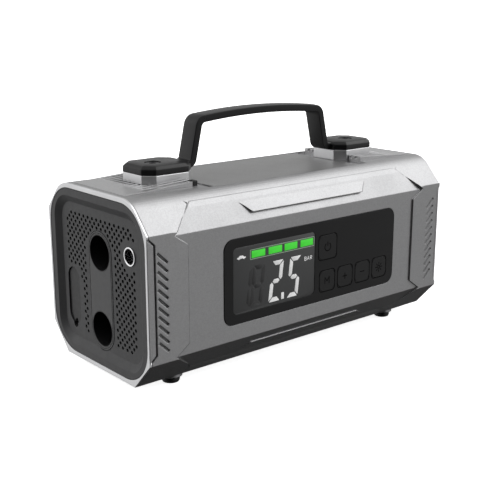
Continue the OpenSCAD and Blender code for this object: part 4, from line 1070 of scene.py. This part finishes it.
@dataclass
class Handle:
    """The strap, its two eight-sided feet, the blocks under them and their screws."""

    strap_w: float = 13.0
    strap_t: float = 4.5
    crown: float = 0.3
    edge_r: float = 0.45
    bar_sag: float = 2.7
    leg_lean: float = 5.9
    leg_offset: float = 26.8
    foot_bend: float = 6.0
    bar_bend: float = 3.0
    bend_parts: int = 16
    bar_parts: int = 24
    crown_parts: int = 16
    foot_inset: float = 12.0
    screw_offset: float = 3.0
    flange_t: float = 5.3
    chamfer: float = 1.9
    corner_cut: float = 6.2
    cut_share: float = 0.42
    corner_r: float = 0.9
    side_parts: int = 8
    recess_r: float = 4.9
    recess_depth: float = 3.0
    recess_ease: float = 0.35
    hole_r: float = 2.7
    block_edge: float = 0.45
    screw_edge: float = 0.25

    def __post_init__(self) -> None:
        """Takes the places of the blocks and the handle's top from the frame."""
        low, high = corners("left_handle_block")
        self.foot_low = float(high[2])
        self.half = (high - low)[:2] / 2
        self.block_x = float(-(low[0] + high[0]) / 2)
        self.top = float(corners("handle")[1][2])

    def build(self, shop: Workshop) -> None:
        """Builds the handle over its frame node and finishes the blocks and screws."""
        shells = [self.strap(), self.foot(-1), self.foot(1)]
        piece = shop.shaped("handle_strap", joined(shells), smooth_angle=40.0)
        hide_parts("handle")
        shop.finish(piece, Body.BASE, "handle_black")
        for block in ("left_handle_block", "right_handle_block"):
            shop.eased(block, "block_silver", self.block_edge)
        shop.eased("handle_screws", "screw_black", self.screw_edge)
        shop.dressed("steel", "handle_anchors")

    def path(self) -> tuple[Array, Array]:
        """The strap's inner surface seen from the front.

        A leg rises from each foot in a bend and turns into the bar in a tighter one; the bar is an
        arc that rises by its sag.

        Returns:
            The points as (X, Z) and the direction at each, in radians.
        """
        bend_x = self.block_x + self.screw_offset - self.leg_offset
        bar_x = bend_x - self.leg_lean
        bar_z = self.top - self.strap_t - self.crown
        arc_r = (bar_x ** 2 + self.bar_sag ** 2) / (2 * self.bar_sag)
        bar_angle = math.asin(bar_x / arc_r)
        leg_angle = math.atan2(bar_z - self.bar_sag - self.foot_low, bend_x - bar_x)
        angles, places = [np.zeros(1)], [np.array([[-bend_x - self.foot_inset, self.foot_low]])]
        bends = ((np.array([-bend_x, self.foot_low]), 0.0, leg_angle, self.foot_bend),
                 (np.array([-bar_x, bar_z - self.bar_sag]), leg_angle, bar_angle, self.bar_bend))
        for corner, start, end, radius in bends:
            turn = np.linspace(start, end, self.bend_parts + 1)
            side = math.copysign(1.0, end - start)
            reach = radius * math.tan(abs(end - start) / 2)
            before = corner - reach * np.array([math.cos(start), math.sin(start)])
            centre = before + side * radius * np.array([-math.sin(start), math.cos(start)])
            places.append(centre + side * radius * np.column_stack([np.sin(turn), -np.cos(turn)]))
            angles.append(turn)
        turn = np.linspace(bar_angle, 0, self.bar_parts + 1)[1:]
        places.append(np.column_stack([-arc_r * np.sin(turn), bar_z - arc_r * (1 - np.cos(turn))]))
        angles.append(turn)
        left, lean = np.concatenate(places), np.concatenate(angles)
        right = left[-2::-1] * [-1, 1]
        return np.concatenate([left, right]), np.concatenate([lean, -lean[-2::-1]])

    def strap(self) -> Shell:
        """The strap: its section, flat inside and crowned outside, is carried along the path."""
        across = np.linspace(1, -1, self.crown_parts + 1)
        height = self.strap_t + self.crown * (1 - across ** 2)
        outside = np.column_stack([across * self.strap_w / 2, height])
        inside = np.array([[-self.strap_w / 2, 0], [self.strap_w / 2, 0]])
        section = np.concatenate([inside, outside])
        ends = rounded_outline(section[[0, 1, 2, -1]], self.edge_r, 4)
        # Each of the four corners has five points, and the crown lies between the last two.
        section = np.concatenate([ends[:15], outside[2:-2], ends[15:]])
        path, lean = self.path()
        out = section[None, :, 1]
        points = np.stack([
            path[:, :1] - out * np.sin(lean)[:, None],
            np.broadcast_to(section[None, :, 0], (len(path), len(section))),
            path[:, 1:] + out * np.cos(lean)[:, None],
        ], axis=-1)
        return loft(points)

    def foot(self, side: int) -> Shell:
        """An eight-sided foot with a chamfer and a round recess for its screw.

        Its rings run up the outside, in over the chamfer and the top, down the recess and the
        hole, and back under it to the start.

        Args:
            side: -1 for the left foot, 1 for the right one.

        Returns:
            The surface.
        """
        screw = np.array([side * (self.block_x + self.screw_offset), 0.0])
        centre = np.array([side * self.block_x, 0.0])
        t, c, ease = self.flange_t, self.chamfer, self.recess_ease
        # Inset and height of each outer ring; pairs of close rings soften the edges between them.
        outer = ((0.25, 0.0), (0.0, 0.25), (0.0, t - c - 0.2), (0.12, t - c + 0.12),
                 (c - 0.25, t - 0.25), (c + 0.15, t))
        rings = [self.level(self.octagon(inset) + centre, height) for inset, height in outer]
        away = rings[0][:, :2] - screw
        away = away / np.linalg.norm(away, axis=1, keepdims=True)
        recess = t - self.recess_depth
        inner = ((self.recess_r + ease, t), (self.recess_r, t - ease), (self.recess_r, recess),
                 (self.hole_r, recess), (self.hole_r, 0.0))
        rings += [self.level(away * radius + screw, height) for radius, height in inner]
        return loft(np.stack(rings) + [0, 0, self.foot_low], closed=True)

    @staticmethod
    def level(outline: Array, height: float) -> Array:
        """An outline at a height."""
        return np.column_stack([outline, np.full(len(outline), height)])

    def octagon(self, inset: float) -> Array:
        """The foot's outline drawn in by inset, its long sides cut into short parts."""
        hx, hy = self.half - inset
        cut = self.corner_cut - inset * self.cut_share
        outline = np.array([[hx, -hy + cut], [hx, hy - cut], [hx - cut, hy], [-hx + cut, hy],
                            [-hx, hy - cut], [-hx, -hy + cut], [-hx + cut, -hy], [hx - cut, -hy]])
        rounded = rounded_outline(outline, self.corner_r, 3)
        share = np.linspace(0, 1, self.side_parts + 1)[None, :-1, None]
        ahead = np.roll(rounded, -1, axis=0)
        return (rounded[:, None] * (1 - share) + ahead[:, None] * share).reshape(-1, 2)


@dataclass
class LampEnd:
    """Right end: ring, cap and the work lamp."""

    ring_edge: float = 0.3
    lens_r: float = 25.9
    lens_rim: float = 0.6
    rim_ease: float = 0.4
    rim_drop: float = 0.3
    flange_t: float = 1.5
    ripple_low: float = 0.5
    ripple: float = 0.25
    ripples: int = 9
    lens_rows: int = 90
    lens_sides: int = 96
    cup_hole_r: float = 5.2
    cup_lip: float = 2.2
    cup_floor: float = 1.5
    cup_wall: float = 1.2
    cup_back_drop: float = 0.7
    lip_t: float = 1.0
    cup_rows: int = 24
    cup_sides: int = 72
    light_r: float = 3.6
    dome: float = 1.3
    dome_sink: float = 0.1
    dome_rows: int = 16
    dome_sides: int = 40

    def build(self, shop: Workshop) -> None:
        """Rounds the ring, dresses the cap and builds the lamp over its frame nodes."""
        shop.eased("right_end_ring", "bright_rim", self.ring_edge)
        shop.dressed("cap_plastic", "right_end_cap")
        self.lens(shop)
        self.reflector(shop)
        self.light(shop)

    @staticmethod
    def facing_out(shell: Shell, centre: Array) -> Shell:
        """Turns a surface that was worked out about Z so that Z points along X."""
        turned = np.column_stack([shell.points[:, 2], shell.points[:, 0], shell.points[:, 1]])
        return Shell(turned + centre, shell.faces)

    def lens(self, shop: Workshop) -> None:
        """The lens: a flat disc whose face has rings, each a half wave of the radius."""
        low, high = corners("lamp_lens")
        thick = float(high[0] - low[0])
        flange_r = float(high[1] - low[1]) / 2
        rippled_r = self.lens_r - self.lens_rim
        radius = np.linspace(POLE_R, rippled_r, self.lens_rows)
        wave = np.abs(np.sin(radius / rippled_r * math.pi * self.ripples))
        face = np.column_stack([radius, thick - self.ripple_low + self.ripple * wave])
        rim = np.array([
            [self.lens_r - self.rim_ease, thick], [self.lens_r, thick - self.rim_drop],
            [self.lens_r, self.flange_t], [flange_r, self.flange_t], [flange_r, 0.0], [POLE_R, 0.0],
        ])
        shell = revolved(np.concatenate([face, rim]), self.lens_sides, np.zeros(3))
        piece = shop.shaped("lamp_lens_finished", self.facing_out(shell, on_axis(low[0], low, high)))
        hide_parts("lamp_lens")
        shop.finish(piece, Body.BASE, "lens_clear")

    def reflector(self, shop: Workshop) -> None:
        """The cup: depth grows with the square of the radius from the hole to the mouth."""
        low, high = corners("lamp_reflector")
        mouth = float(high[1] - low[1]) / 2
        deep = float(high[0] - low[0])
        share = np.linspace(0, 1, self.cup_rows)
        radius = self.cup_hole_r + (mouth - self.cup_lip - self.cup_hole_r) * share
        height = self.cup_floor + (deep - self.cup_floor) * share ** 2
        inner = np.column_stack([radius, height])
        back = np.clip(height[::-1] - self.cup_floor - self.cup_back_drop, 0, deep)
        outer = np.column_stack([radius[::-1] + self.cup_wall, back])
        rim = np.array([[mouth, deep], [mouth, deep - self.lip_t]])
        profile = np.concatenate([inner, rim, outer])
        shell = revolved(profile, self.cup_sides, np.zeros(3), closed=True)
        shell = self.facing_out(shell, on_axis(low[0], low, high))
        piece = shop.shaped("lamp_reflector_finished", shell)
        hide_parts("lamp_reflector")
        shop.finish(piece, Body.BASE, "reflector_silver")

    def light(self, shop: Workshop) -> None:
        """A low yellow dome on the lamp's board: its height falls with the square of the radius."""
        shop.dressed("lamp_white", "lamp_board")
        low, high = corners("lamp_board")
        radius = np.linspace(POLE_R, self.light_r, self.dome_rows)
        face = np.column_stack([radius, self.dome * (1 - (radius / self.light_r) ** 2)])
        base = np.array([[self.light_r, -self.dome_sink], [POLE_R, -self.dome_sink]])
        shell = revolved(np.concatenate([face, base]), self.dome_sides, np.zeros(3))
        piece = shop.shaped("lamp_light", self.facing_out(shell, on_axis(high[0], low, high)))
        shop.finish(piece, Body.BASE, "lamp_white")


@dataclass
class Feet:
    """Four round rubber feet: a neck, a full middle and a soft rim round the screw's recess."""

    radius: float = 5.5
    neck: float = 0.7
    rim: float = 1.1
    bulge_share: float = 0.44
    bulge_rows: int = 13
    sides: int = 40
    top_ease: float = 0.4
    recess_ease: float = 0.35
    recess_r: float = 3.2
    recess_depth: float = 2.0
    hole_r: float = 1.7

    def build(self, shop: Workshop) -> None:
        """Builds the feet over their frame node."""
        low, high = corners("feet")
        radius, ease = self.radius, self.recess_ease
        height = float(high[2] - low[2])
        bulge = np.linspace(-1, 1, self.bulge_rows)
        drawn_in = np.where(bulge > 0, self.neck, self.rim / 2) * bulge ** 2
        outside = np.column_stack([radius - drawn_in, height * (0.5 + self.bulge_share * bulge)])
        inside = np.array([
            [radius - self.neck - self.top_ease, height], [self.hole_r, height],
            [self.hole_r, self.recess_depth], [self.recess_r, self.recess_depth],
            [self.recess_r, ease], [self.recess_r + ease, 0.0], [radius - self.rim, 0.0],
        ])
        profile = np.concatenate([outside, inside])
        places = [(x, y) for x in (low[0] + radius, high[0] - radius)
                  for y in (low[1] + radius, high[1] - radius)]
        shells = [
            revolved(profile, self.sides, np.array([x, y, low[2]]), closed=True) for x, y in places
        ]
        piece = shop.shaped("rubber_feet", joined(shells), smooth_angle=50.0)
        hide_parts("feet")
        shop.finish(piece, Body.BASE, "rubber")
        shop.dressed("steel", "foot_screws")


@dataclass
class PowerPack:
    """Cells, trays, bus bars and the main board with what stands on it."""

    def build(self, shop: Workshop) -> None:
        """Dresses each piece."""
        shop.dressed("cell_wrap", "battery_cells")
        shop.dressed("tray_plastic", "front_cell_tray", "rear_cell_tray")
        shop.dressed("steel", "bus_bars")
        shop.dressed("board_green", "main_board")
        shop.dressed("black_plastic", "power_relay")
        shop.dressed("capacitor_sleeve", "capacitors")
        shop.dressed("cast_alloy", "heat_sink")


@dataclass
class AirPump:
    """Motor, gears, frame, cylinder, piston and hose."""

    def build(self, shop: Workshop) -> None:
        """Dresses each piece."""
        shop.dressed("steel", "pump_motor", "gear_axle")
        shop.dressed("contact_brass", "motor_pinion")
        shop.dressed("gear_nylon", "crank_gear")
        shop.dressed("cast_alloy", "pump_frame", "pump_cylinder", "cylinder_head", "piston")
        shop.dressed("hose_black", "air_hose")


# ---- Studio ----


@dataclass(frozen=True)
class Glow:
    """A soft patch of light in the surroundings.

    Args:
        towards: where it lies, seen from the object.
        spread: how far it reaches from its middle, in degrees.
        strength: its brightness in the middle.
    """

    towards: tuple[float, float, float]
    spread: float
    strength: float


@dataclass
class Studio:
    """Floor, soft lights and the camera."""

    camera_at: tuple[float, float, float] = (-0.3834, -0.4430, 0.2121)
    azimuth: float = -40.424
    elevation: float = 14.722
    roll: float = -0.059
    lens: float = 65.55
    sensor: float = 36.0
    clip: tuple[float, float] = (0.01, 50.0)
    floor_rows: int = 40
    floor_sides: int = 96
    floor_r: float = 6000.0
    floor_pole: float = 0.001
    floor_flat: float = 0.35
    floor_rise: float = 10000.0
    ambient: float = 0.02
    glows: tuple[Glow, ...] = (
        Glow((0.62, -0.34, 0.7), 46.0, 2.9),
        Glow((-0.5, 0.3, 0.8), 60.0, 1.1),
        Glow((0.63, 0.74, 0.15), 60.0, 0.6),
        Glow((0.63, -0.76, -0.2), 48.0, 0.55),
        Glow((-0.63, 0.74, -0.1), 55.0, 0.95),
    )

    def build(self, shop: Workshop) -> None:
        """Sets the scene."""
        self.floor(shop)
        self.world()
        self.camera()
        bpy.context.scene.view_settings.view_transform = "Standard"

    def floor(self, shop: Workshop) -> None:
        """A wide pale floor, level in the middle.

        Past the level part, its height grows with the cube of the way out.
        """
        share = np.linspace(0, 1, self.floor_rows)
        radius = self.floor_r * (self.floor_pole + share)
        rise = self.floor_rise * np.clip(share - self.floor_flat, 0, 1) ** 3
        shell = revolved(np.column_stack([radius, rise]), self.floor_sides, np.zeros(3))
        # The last face would close the outermost ring, and the one before it closes the middle.
        shell.faces = [shell.faces[-2]] + shell.faces[:-2]
        piece = shop.shaped("floor", shell)
        piece.data.materials.append(shop.palette.of(FLOOR_WHITE))
        piece.visible_diffuse = piece.visible_glossy = piece.visible_shadow = False

    def world(self) -> None:
        """Dark surroundings with soft glows.

        A glow's brightness falls smoothly from its middle to its edge with the cosine of the
        angle from its middle, and the glows add up over an even level.
        """
        world = bpy.data.worlds.new("surroundings")
        bpy.context.scene.world = world
        world.use_nodes = True
        nodes, links = world.node_tree.nodes, world.node_tree.links
        nodes["Background"].inputs["Color"].default_value = (1.0, 1.0, 1.0, 1.0)
        outlook = nodes.new("ShaderNodeTexCoord").outputs["Generated"]
        level = nodes.new("ShaderNodeValue").outputs["Value"]
        level.default_value = self.ambient
        for glow in self.glows:
            towards = Vector(glow.towards).normalized()
            dot = nodes.new("ShaderNodeVectorMath")
            dot.operation = "DOT_PRODUCT"
            links.new(outlook, dot.inputs[0])
            dot.inputs[1].default_value = towards
            painted_light_fall = nodes.new("ShaderNodeMapRange")
            painted_light_fall.interpolation_type = "SMOOTHSTEP"
            links.new(dot.outputs["Value"], painted_light_fall.inputs["Value"])
            edge = math.cos(math.radians(glow.spread))
            for socket, value in ((1, edge), (2, 1.0), (3, 0.0), (4, glow.strength)):
                painted_light_fall.inputs[socket].default_value = value
            total = nodes.new("ShaderNodeMath")
            links.new(level, total.inputs[0])
            links.new(painted_light_fall.outputs["Result"], total.inputs[1])
            level = total.outputs["Value"]
        links.new(level, nodes["Background"].inputs["Strength"])

    def camera(self) -> None:
        """The camera, which looks down at the display and the socket end."""
        camera = bpy.data.cameras.new("camera")
        camera.lens = self.lens
        camera.sensor_width = self.sensor
        camera.clip_start, camera.clip_end = self.clip
        holder = bpy.data.objects.new("camera", camera)
        holder.location = self.camera_at
        tilt = math.radians(90 - self.elevation)
        holder.rotation_euler = Euler((tilt, math.radians(self.roll), math.radians(self.azimuth)), "XYZ")
        bpy.context.scene.collection.objects.link(holder)
        bpy.context.scene.camera = holder


def main() -> None:
    """Builds the studio and each sub-assembly."""
    logging.basicConfig(level=logging.INFO, format="%(message)s")
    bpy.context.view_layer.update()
    shop = Workshop()
    assemblies = (Studio(), Handle(), Housing(), TopDeck(), SocketEnd(), Display(), LampEnd(), Feet(),
                  PowerPack(), AirPump())
    for assembly in assemblies:
        log.info("-- %s", type(assembly).__name__)
        assembly.build(shop)


if __name__ == "__main__":
    main()
